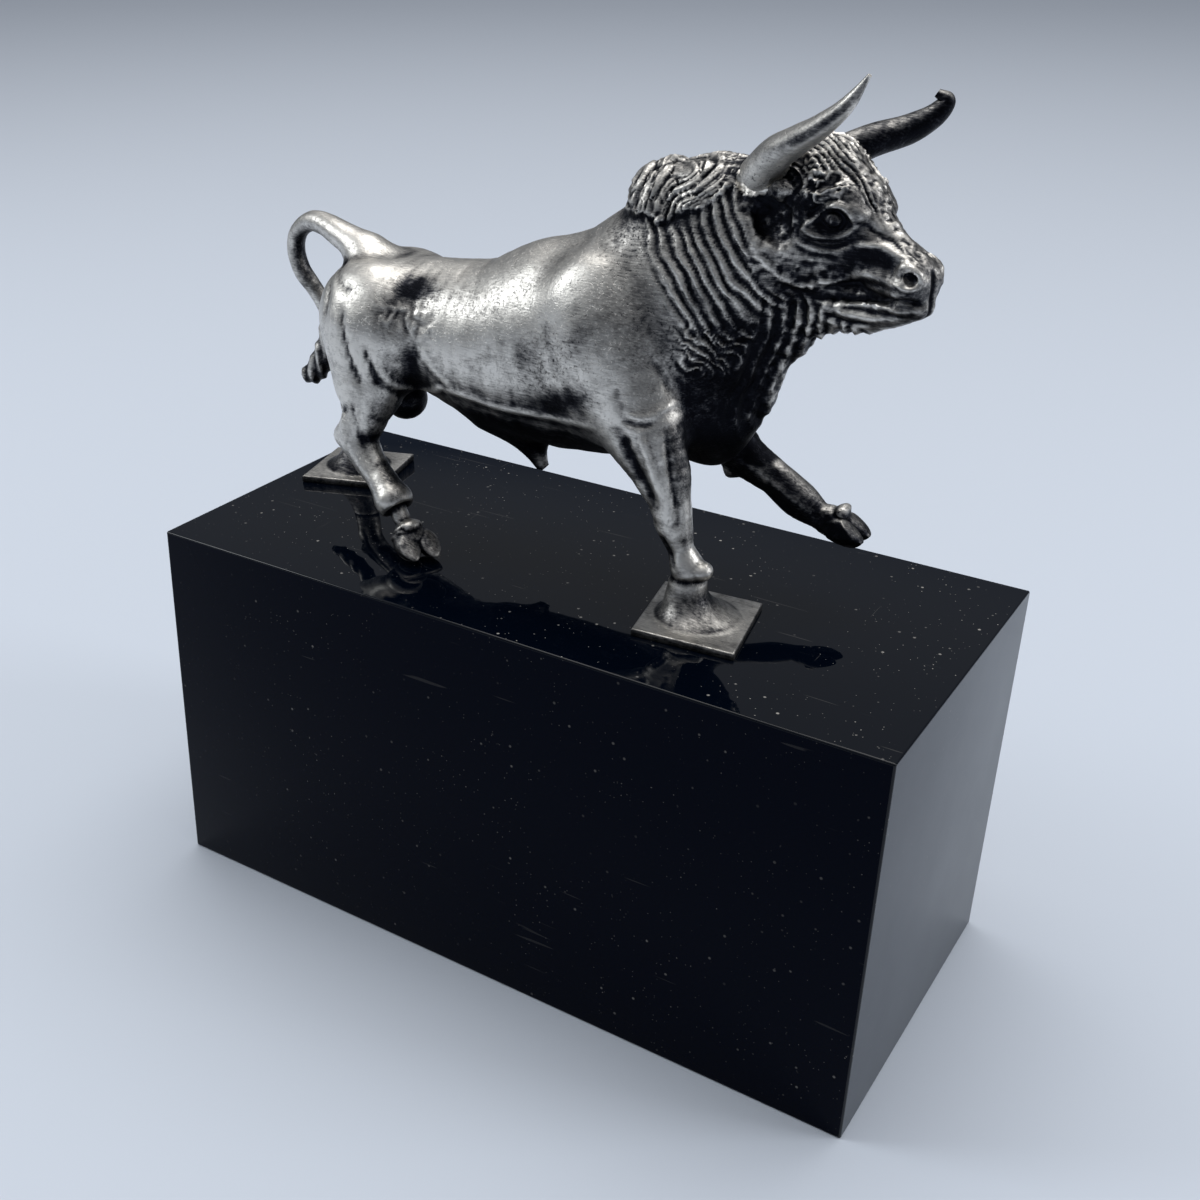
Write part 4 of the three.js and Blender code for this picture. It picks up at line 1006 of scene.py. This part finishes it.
refineWhere(bull, carvedRegion)
evenOut(bull, 1, 0.3)
refineWhere(bull, finestRegion)
evenOut(bull, 1, 0.3)
raiseCarving(bull)
print("carving raised:", len(bull.data.vertices), "points")


# horns and foot plates, modelled clean and joined to the cast

horns = {"sides": 12, "steps": 12, "proud": 0.03}
ringPoints, domeRings = 64, 15


def makeHorn(name, rows):
    stations = stationsOf(rows, horns["steps"])
    curve = bpy.data.curves.new(name, "CURVE")
    curve.dimensions = "3D"
    curve.bevel_depth = mm
    curve.bevel_resolution = horns["sides"]
    curve.use_fill_caps = True
    spline = curve.splines.new("POLY")
    spline.points.add(len(stations) - 1)
    for point, station in zip(spline.points, stations):
        point.co = (*inWorld(station[:3]), 1)
        point.radius = station[3] + horns["proud"]
    makeActive(linkNew(name, curve))
    bpy.ops.object.convert(target="MESH")
    piece = bpy.context.object
    cleanMesh(piece)
    return piece


def plateRing(plate, z, inset=0.0):
    # the plate's slightly skewed outline, drawn in by the inset
    turn, crosswise = math.radians(plate["turn"]), math.radians(plate["turn"] + plate["skew"])
    along = np.array([math.cos(turn), math.sin(turn)])
    across = np.array([-math.sin(crosswise), math.cos(crosswise)])
    ring = []
    for i in range(ringPoints):
        angle = i / ringPoints * 2 * math.pi + math.pi / 4
        c, s = math.cos(angle), math.sin(angle)
        square = 0.5 / max(abs(c), abs(s))
        long, wide = (plate["size"][0] - inset) * c * square, (plate["size"][1] - inset) * s * square
        ring.append((*(np.array(plate["at"]) + long * along + wide * across), z))
    return ring


def domeRing(plate, radius, share, z):
    # a round ring, moved from the plate's middle to the leg as it rises
    middle = np.array(plate["at"]) + share * (np.array(plate["leg"]) - np.array(plate["at"]))
    turned = math.radians(plate["turn"]) + math.pi / 4
    angles = [turned + i / ringPoints * 2 * math.pi for i in range(ringPoints)]
    return [(middle[0] + radius * math.cos(angle), middle[1] + radius * math.sin(angle), z) for angle in angles]


def makePlate(name, plate):
    thick, rise, stem = plate["thick"], plate["rise"], plate["stem"]
    bevel = ((0.12, 0), (thick - 0.14, 0), (thick, 0.28), (thick + 0.01, 0.7))  # height, inset
    rings = [plateRing(plate, *row) for row in bevel]
    for share in np.linspace(0, 1, domeRings):
        flare = stem + (plate["foot"] - stem) * (1 - share) ** 2.0
        rings.append(domeRing(plate, flare, ease(share, 0, 0.8), thick + (rise - thick) * share ** 1.35))
    rings.append(domeRing(plate, stem * 0.8, 1, rise + 1))
    deselectAll()
    bpy.ops.mesh.primitive_circle_add(vertices=ringPoints, radius=mm, fill_type="NGON")
    piece = bpy.context.object
    piece.name = name
    below = inWorld(plateRing(plate, 0.0, 0.24))
    for vertex, place in zip(piece.data.vertices, below):
        vertex.co = place
    bpy.ops.object.mode_set(mode="EDIT")
    bpy.ops.mesh.select_all(action="SELECT")
    for ring in rings:
        bpy.ops.mesh.extrude_region_move()
        net = bmesh.from_edit_mesh(piece.data)
        corners = [vertex for vertex in net.verts if vertex.select]
        spots = np.array([vertex.co for vertex in corners])
        matching = [int(((spots - spot) ** 2).sum(1).argmin()) for spot in below]
        for i, place in zip(matching, inWorld(ring)):
            corners[i].co = place
        below = np.array([corners[i].co for i in matching])
        bmesh.update_edit_mesh(piece.data)
    bpy.ops.object.mode_set(mode="OBJECT")
    cleanMesh(piece)
    return piece


for name, rows in (("near_horn", nearHorn), ("far_horn", farHorn)):
    combine(bull, makeHorn(name, rows), "UNION")
for name, plate in zip(("fore_plate", "hind_plate"), plates):
    combine(bull, makePlate(name, plate), "UNION")
print("horns and plates joined:", len(bull.data.vertices), "points")


# wear and tarnish are read from the finished skin: crests are rubbed bright, hollows keep their oxide

deepest = 0.35  # the depth in millimetres that counts as a full hollow or crest


def measureWear(piece):
    points = pointsOf(piece)
    edges = readRows(piece.data.edges, "vertices", 2, np.int32)
    normals = readRows(piece.data.vertices, "normal", 3)
    hollow = np.zeros(len(points))
    smoothed = points
    for rounds, weight in ((3, 1.0), (5, 0.8), (12, 0.5)):
        for _ in range(rounds):
            smoothed = smoothed + 0.5 * (meanOfNeighbours(smoothed, edges, len(points)) - smoothed)
        hollow += weight * ((smoothed - points) * normals).sum(1)
    storeValue(piece, "hollow", hollow / deepest)
    storeValue(piece, "crest", -hollow / deepest)


measureWear(bull)
smoothShade(bull, 50)
print("wear measured")


# finishes

def maths(tree, operation, *values, clamp=False):
    node = addNode(tree, "ShaderNodeMath", operation=operation, use_clamp=clamp)
    for socket, value in zip(node.inputs, values):
        if isinstance(value, (int, float)):
            socket.default_value = value
        else:
            tree.links.new(value, socket)
    return node.outputs[0]


def spread(tree, value, low, high, to=(0, 1)):
    node = addNode(tree, "ShaderNodeMapRange", clamp=True)
    tree.links.new(value, node.inputs["Value"])
    for name, number in (("From Min", low), ("From Max", high), ("To Min", to[0]), ("To Max", to[1])):
        node.inputs[name].default_value = number
    return node.outputs["Result"]


def millimetres(tree, stretch=(1, 1, 1), turn=(0, 0, 0)):
    place = addNode(tree, "ShaderNodeTexCoord").outputs["Object"]
    mapping = addNode(tree, "ShaderNodeMapping")
    mapping.inputs["Scale"].default_value = [1000 * k for k in stretch]
    mapping.inputs["Rotation"].default_value = turn
    tree.links.new(place, mapping.inputs["Vector"])
    return mapping.outputs["Vector"]


def noiseOf(tree, vector, scale, detail, roughness):
    node = addNode(tree, "ShaderNodeTexNoise", Scale=scale, Detail=detail, Roughness=roughness)
    tree.links.new(vector, node.inputs["Vector"])
    return node.outputs["Fac"]


silver = {
    "tones": [
        (0.0, (0.72, 0.693, 0.645)), (0.25, (0.50, 0.481, 0.450)), (0.45, (0.27, 0.26, 0.247)),
        (0.66, (0.085, 0.084, 0.086)), (0.86, (0.016, 0.017, 0.022)), (1.0, (0.006, 0.0065, 0.009)),
    ],
    "roughness": (0.37, 0.46),
    "bumpDepth": 0.06,  # millimetres
    # patterns: noise scale per millimetre, detail and roughness
    "broad": (0.16, 3, 0.55), "mottle": (0.9, 4, 0.62), "grain": (2.6, 3, 0.6), "scratches": (1.4, 2, 0.5),
    "scratchStretch": (0.35, 3.2, 3.2), "scratchTurn": (0.2, 0.9, 0.5),
}


def silverMaterial():
    material, tree, shader = newMaterial("oxidised_silver_and_painted_shade")
    shader.inputs["Metallic"].default_value = 1
    place = millimetres(tree)
    oxideAndShade, pitted = (addNode(tree, "ShaderNodeAttribute", attribute_name=name).outputs["Fac"]
                     for name in ("oxideAndShade", "pitted"))
    broad, mottle, grain = (noiseOf(tree, place, *silver[name]) for name in ("broad", "mottle", "grain"))
    pits = spread(tree, grain, 0.56, 0.68)
    drawn = millimetres(tree, silver["scratchStretch"], silver["scratchTurn"])
    scratches = noiseOf(tree, drawn, *silver["scratches"])
    # the oxide attribute, and so this tarnish, holds both kept oxide and painted shade
    tarnishAndShade = oxideAndShade
    for pattern, low, high, least, most in (
        (broad, 0.3, 0.7, -0.14, 0.16), (mottle, 0.32, 0.68, -0.13, 0.13), (scratches, 0.3, 0.7, -0.12, 0.12),
    ):
        tarnishAndShade = maths(tree, "ADD", tarnishAndShade, spread(tree, pattern, low, high, (least, most)))
    inPits = maths(tree, "MULTIPLY", pits, maths(tree, "MULTIPLY_ADD", pitted, 0.7, 0.1))
    tarnishAndShade = maths(tree, "ADD", tarnishAndShade, inPits, clamp=True)
    tree.links.new(rampOf(tree, tarnishAndShade, silver["tones"]), shader.inputs["Base Color"])
    rough = spread(tree, tarnishAndShade, 0, 1, silver["roughness"])
    rough = maths(tree, "ADD", rough, spread(tree, mottle, 0.3, 0.7, (-0.05, 0.07)))
    tree.links.new(rough, shader.inputs["Roughness"])
    sunk = maths(tree, "MULTIPLY", pits, maths(tree, "MULTIPLY_ADD", pitted, 1.3, 0.5))
    height = maths(tree, "MULTIPLY_ADD", scratches, 0.5, maths(tree, "SUBTRACT", mottle, sunk))
    bump = addNode(tree, "ShaderNodeBump", Strength=0.8, Distance=silver["bumpDepth"] * mm)
    tree.links.new(height, bump.inputs["Height"])
    tree.links.new(bump.outputs["Normal"], shader.inputs["Normal"])
    return material


stone = {
    "bevel": 0.3,  # millimetres
    "dustColour": (0.42, 0.40, 0.37),
    "specks": [(0.42, 0.11, 0.55), (0.9, 0.10, 0.35), (1.6, 0.13, 0.22)],  # cells per millimetre, size, share of cells
    "scratches": [  # stretch and turn of each set
        ((0.10, 4, 2.2), (0.3, 0.2, 0.5)), ((3.4, 0.12, 2.6), (0.1, 0.5, -0.3)), ((0.14, 3, 2.4), (0.7, 0.4, 1.3)),
    ],
    "faces": {  # colour, roughness, specular level, how dusty, how scratched
        "top": ((0.0006, 0.0020, 0.0056), 0.018, 0.28, 1.0, 0.35),
        "side": ((0.0007, 0.0019, 0.0070), 0.07, 0.04, 0.35, 0.22),
        # the end's lighter colour is partly its sanded finish and partly painted sheen
        "end": ((0.022, 0.030, 0.044), 0.33, 1.0, 0.35, 0.4),
    },
}


def dustGroup():
    # dust specks and short scratches for the polished stone
    tree = bpy.data.node_groups.new("dust_and_scratches", "ShaderNodeTree")
    for way, names in (("INPUT", ("Dustiness", "Scratchiness")), ("OUTPUT", ("Dust", "Scratches"))):
        for name in names:
            tree.interface.new_socket(name, in_out=way, socket_type="NodeSocketFloat")
    given = addNode(tree, "NodeGroupInput")
    result = addNode(tree, "NodeGroupOutput")
    place = millimetres(tree)
    specks = 0.0
    for scale, size, share in stone["specks"]:
        cells = addNode(tree, "ShaderNodeTexVoronoi", Scale=scale)
        tree.links.new(place, cells.inputs["Vector"])
        split = addNode(tree, "ShaderNodeSeparateColor")
        tree.links.new(cells.outputs["Color"], split.inputs["Color"])
        few = maths(tree, "LESS_THAN", split.outputs[0], share)
        near = spread(tree, cells.outputs["Distance"], size, size * 0.5)
        specks = maths(tree, "MULTIPLY_ADD", near, few, specks, clamp=True)
    patches = spread(tree, noiseOf(tree, place, 0.05, 2, 0.5), 0.42, 0.62, (0.15, 1))
    dust = maths(tree, "MULTIPLY", specks, patches)
    dust = maths(tree, "MULTIPLY", dust, given.outputs["Dustiness"], clamp=True)
    tree.links.new(dust, result.inputs["Dust"])
    lines = 0.0
    for stretch, turn in stone["scratches"]:
        line = noiseOf(tree, millimetres(tree, stretch, turn), 0.5, 1, 0.5)
        lines = maths(tree, "ADD", lines, spread(tree, line, 0.775, 0.795))
    scratches = maths(tree, "MULTIPLY", lines, given.outputs["Scratchiness"], clamp=True)
    tree.links.new(scratches, result.inputs["Scratches"])
    return tree


def stoneMaterial(name, dusty):
    colour, roughness, specular, dustiness, scratchiness = stone["faces"][name]
    material, tree, shader = newMaterial("black_stone_" + name)
    shader.inputs["Specular IOR Level"].default_value = specular
    group = addNode(tree, "ShaderNodeGroup", node_tree=dusty, Dustiness=dustiness, Scratchiness=scratchiness)
    faint = maths(tree, "MULTIPLY", group.outputs["Scratches"], 0.25)
    marks = maths(tree, "MAXIMUM", group.outputs["Dust"], faint)
    tree.links.new(rampOf(tree, marks, [(0, colour), (1, stone["dustColour"])]), shader.inputs["Base Color"])
    smear = spread(tree, noiseOf(tree, millimetres(tree), 0.07, 3, 0.6), 0.35, 0.7, (0, 0.03))
    rough = maths(tree, "ADD", smear, spread(tree, marks, 0, 1, (roughness, 0.7)), clamp=True)
    tree.links.new(rough, shader.inputs["Roughness"])
    return material


def makePlinth():
    # the CAD block's size, with a narrower bright bevel along its edges
    low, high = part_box("plinth")
    deselectAll()
    bpy.ops.mesh.primitive_cube_add(size=1)
    piece = bpy.context.object
    piece.name = "plinth_block"
    piece.scale = high - low
    piece.location = (low + high) / 2
    bpy.ops.object.transform_apply(location=True, rotation=True, scale=True)
    bevel = piece.modifiers.new("bevel", "BEVEL")
    bevel.width = stone["bevel"] * mm
    bevel.segments = 3
    applyModifiers(piece)
    for face in piece.data.polygons:
        side = max(range(3), key=lambda axis: abs(face.normal[axis]))
        face.material_index = 2 - side if abs(face.normal[side]) > 0.999 else 0
    smoothShade(piece, 30)
    return piece


# how dark each place is painted, 0 rubbed bright, 1 black: oxide kept in hollows and over whole regions such as the
# head and neck, and painted shade where the skin is shut in or faces down, between the forelegs, under the body and
# tail, on the far legs and on the tail loop's side that faces the body
oxideAndShadeByPlace = {
    "everywhere": 0.17, "shelterShade": 0.55, "shadeUnderneath": 0.36, "hollows": 0.95, "crests": -0.65, "feet": 0.12,
    "head": 0.3, "temples": 0.42, "beforeEyes": 0.3, "eyes": 0.3, "underLips": 0.3, "muzzleGroove": 0.45,
    "neck": 0.34, "mane": 0.3, "chest": 0.42, "dewlap": -0.34, "brisket": 0.45, "hornFoot": 0.5,
    "belly": 0.45, "scrotum": 0.5, "sheath": 0.5, "raisedLeg": 0.34, "shadeUnderRaisedLeg": 0.5,
    "nearHindHoof": 0.3, "farHindLeg": 0.3, "rump": 0.22, "tailLoopShade": 0.45, "shadeUnderTail": 0.35, "tuft": 0.2,
}
# dark patches on the near side: middle, half length and height, rise; and how dark
darkPatches = [
    (((-25.8, 39.3), (5.0, 1.6), 0.06), 0.85),  # hip
    (hipPatch, 0.32),
    (((-25.4, 30.0), (3.8, 4.0)), 0.3),
    (((-2.0, 35.4), (8.5, 2.4), 0.3), 0.28),  # middle of the flank
    (((3.2, 29.6), (5.4, 1.7), 0.3), 0.42),
    (((4.9, 39.8), (2.4, 3.2), 0.4), 0.3),  # behind the shoulder
]
# dark lines on the near legs: path (x, z), width, how dark, and whether only on what faces forward; the lines in the
# tendons' creases are oxide, the ones only on what faces forward are painted shade on the legs' shaded fronts
darkLines = [
    ([(11.8, 27.2), (14.3, 23.2), (17.8, 16.8)], 1.0, 0.5, False),
    # painted shade on the near foreleg's shaded front
    ([(19.4, 28.0), (21.1, 21.3), (22.4, 13.1)], 1.2, 0.6, True),
    ([(17.5, 14.8), (19.2, 12.0), (20.6, 8.8)], 0.5, 0.4, False),
    # painted shade on the near hind leg's shaded front
    ([(-29.9, 21.5), (-31.4, 16.5), (-29.4, 13.0), (-25.5, 9.8)], 1.8, 0.65, True),
]
onSkin = 0.35  # a point this near to a horn's form, in millimetres, is on the horn


def sharesOnHead(points, u, v, w):
    inside = band(u, -8, -6, 22, 24) * (points[:, 2] > 44)
    return {
        "head": inside,
        "temples": templeShare(points, u, v, w) * (0.8 + lumpy(points, (0.5, 1.2, 33))),
        "beforeEyes": band(u, 6.2, 7.6, 12, 14.5) * band(w, -3.2, -1.6, 0.9, 2.0) * (np.abs(v) > 1),
        "eyes": ease(np.hypot(u - 4.3, w - 1.2), 2.5, 1.7) * (np.abs(v) > 2) * inside,
        "underLips": nearPath([(7.5, -7.0), (12, -5.3), (17.5, -3.2)], 1.1, u, w) * inside,
        "muzzleGroove": muzzleGroove(u, v, w),
    }


def sharesOnBody(points, normals, onNeck):
    x, y, z = points.T
    forward, up = normals[:, 0], normals[:, 2]
    inMane = maneShare(points)
    raised = (limb(farForeLeg)["distance"](points) < 1.6) * ease(x, 18, 23) + (x > 34) * (z < 18)
    raised = np.minimum(raised, 1)
    return {
        "neck": onNeck * (1 - inMane),
        "mane": inMane,
        # the chest and brisket between the forelegs and the belly, scrotum and sheath under the body are darkened as
        # painted shade
        "chest": ease(x, 13, 19) * band(z, 17, 22, 40, 46) * ease(-y, 9, 7.5),
        "dewlap": ease(x - levelOn(chest["ridge"], z), 1.0, 2.6) * band(z, 29, 32, 44, 46) * (x > 20),
        "brisket": band(x, 15, 18, 27, 30) * band(z, 19, 21, 33.5, 36.5) * ease(-y, 8.6, 7.0),
        "belly": band(x, -37.5, -36.5, 4, 8) * band(z, 12, 13.5, 22.0, 25.2) * (np.abs(y) < 8.6),
        "scrotum": (np.hypot(x + 33, z - 19.5) < 4.6) * (np.abs(y) < 3.6),
        "sheath": between(x, -14, -4) * ease(z, 19, 16.5) * (z > 12),
        # the raised far foreleg and the far hind leg are darkened as painted shade, the raised leg's underside more
        "raisedLeg": raised,
        "shadeUnderRaisedLeg": raised * ease(-up, -0.95, -0.5),
        "nearHindHoof": onNearHindHoof(x, y, z),
        "farHindLeg": (x < -38) & (y > 4) & (z < 24),
        "feet": ease(z, 17, 6),
        "rump": ease(-x, 46, 52) * (z > 16),
        # painted shade on the tail loop's side that faces the body, under the tail, and on all that faces down
        "tailLoopShade": ease(-x, 44, 48) * (z > 20) * ease(forward, 0.0, 0.6),
        "shadeUnderTail": ease(-x, 41, 45) * ease(z, 28, 34) * ease(-up, -0.75, -0.2),
        "tuft": (x < -50) & between(z, 14, 28),
        "shadeUnderneath": ease(-up, -0.25, 0.65),
        "everywhere": 1,
    }


def measureOxideAndShade(piece):
    points = pointsOf(piece)
    x, y, z = points.T
    u, v, w = headSpace(points).T
    normals = readRows(piece.data.vertices, "normal", 3)
    patches = lumpy(points, (0.6, 5.0, 31), (0.4, 2.2, 32))
    fromNear, fromFar = (limb(rows)["distance"](points) for rows in (nearHorn, farHorn))
    onHead = sharesOnHead(points, u, v, w)
    onNeck = ease(np.hypot(x - 36, z - 60), 35, 27) * (x > 3) * (1 - onHead["head"])
    shares = {
        **onHead, **sharesOnBody(points, normals, onNeck),
        "shelterShade": ease(readValue(piece, "shelterShade"), 0.2, 0.75),
        "hollows": readValue(piece, "hollow"), "crests": readValue(piece, "crest"),
        "hornFoot": np.exp(-((fromNear / 1.6) ** 2)),
    }
    oxideAndShade = sum(oxideAndShadeByPlace[name] * share for name, share in shares.items())
    for patch, dark in darkPatches:
        oxideAndShade += dark * (y < 0) * (0.8 + patches) * onPatch(x, z, *patch)
    for path, width, dark, ahead in darkLines:
        oxideAndShade += dark * nearPath(path, width, x, z) * (y < -5) * (ease(normals[:, 0], 0.0, 0.5) if ahead else 1)
    up = normals[:, 2]
    # painted shade on the horns: the far horn is kept dark and its underside darker still, the near horn darkens in a
    # band over its sideways and lower faces
    hornShadeBand = band(up, -0.6, -0.35, -0.1, 0.2) * ease(z, 65, 67.5)
    oxideAndShade = np.where(fromFar < onSkin, 0.52 + 0.4 * ease(-up, -0.85, -0.2) + 0.1 * patches, oxideAndShade)
    oxideAndShade = np.where(fromNear < onSkin, 0.1 + 0.6 * hornShadeBand + 0.1 * patches, oxideAndShade)
    oxideAndShade += 0.08 * patches - 0.16 * wormPatch(u, v, w)
    # the plates' sides are painted much darker than their tops, as painted shade
    oxideAndShade = np.where(z < 1.25, np.where(z < 1.0, 0.6, 0.22 + 0.2 * patches), oxideAndShade)  # plates: sides and tops
    storeValue(piece, "oxideAndShade", oxideAndShade)
    pitted = 0.25 * onNeck + 0.5 * onHead["temples"]
    pitted += 0.3 * onPatch(x, z, (3, 36), (8, 9)) + 0.2 * onPatch(x, z, (-25, 37), (5, 5))
    storeValue(piece, "pitted", pitted)


measureOxideAndShade(bull)
bull.data.materials.clear()
bull.data.materials.append(silverMaterial())
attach(bull, "root")
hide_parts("bull")

plinth = makePlinth()
dusty = dustGroup()
for name in ("top", "side", "end"):
    plinth.data.materials.append(stoneMaterial(name, dusty))
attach(plinth, "root")
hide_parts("plinth")
print("finishes given")
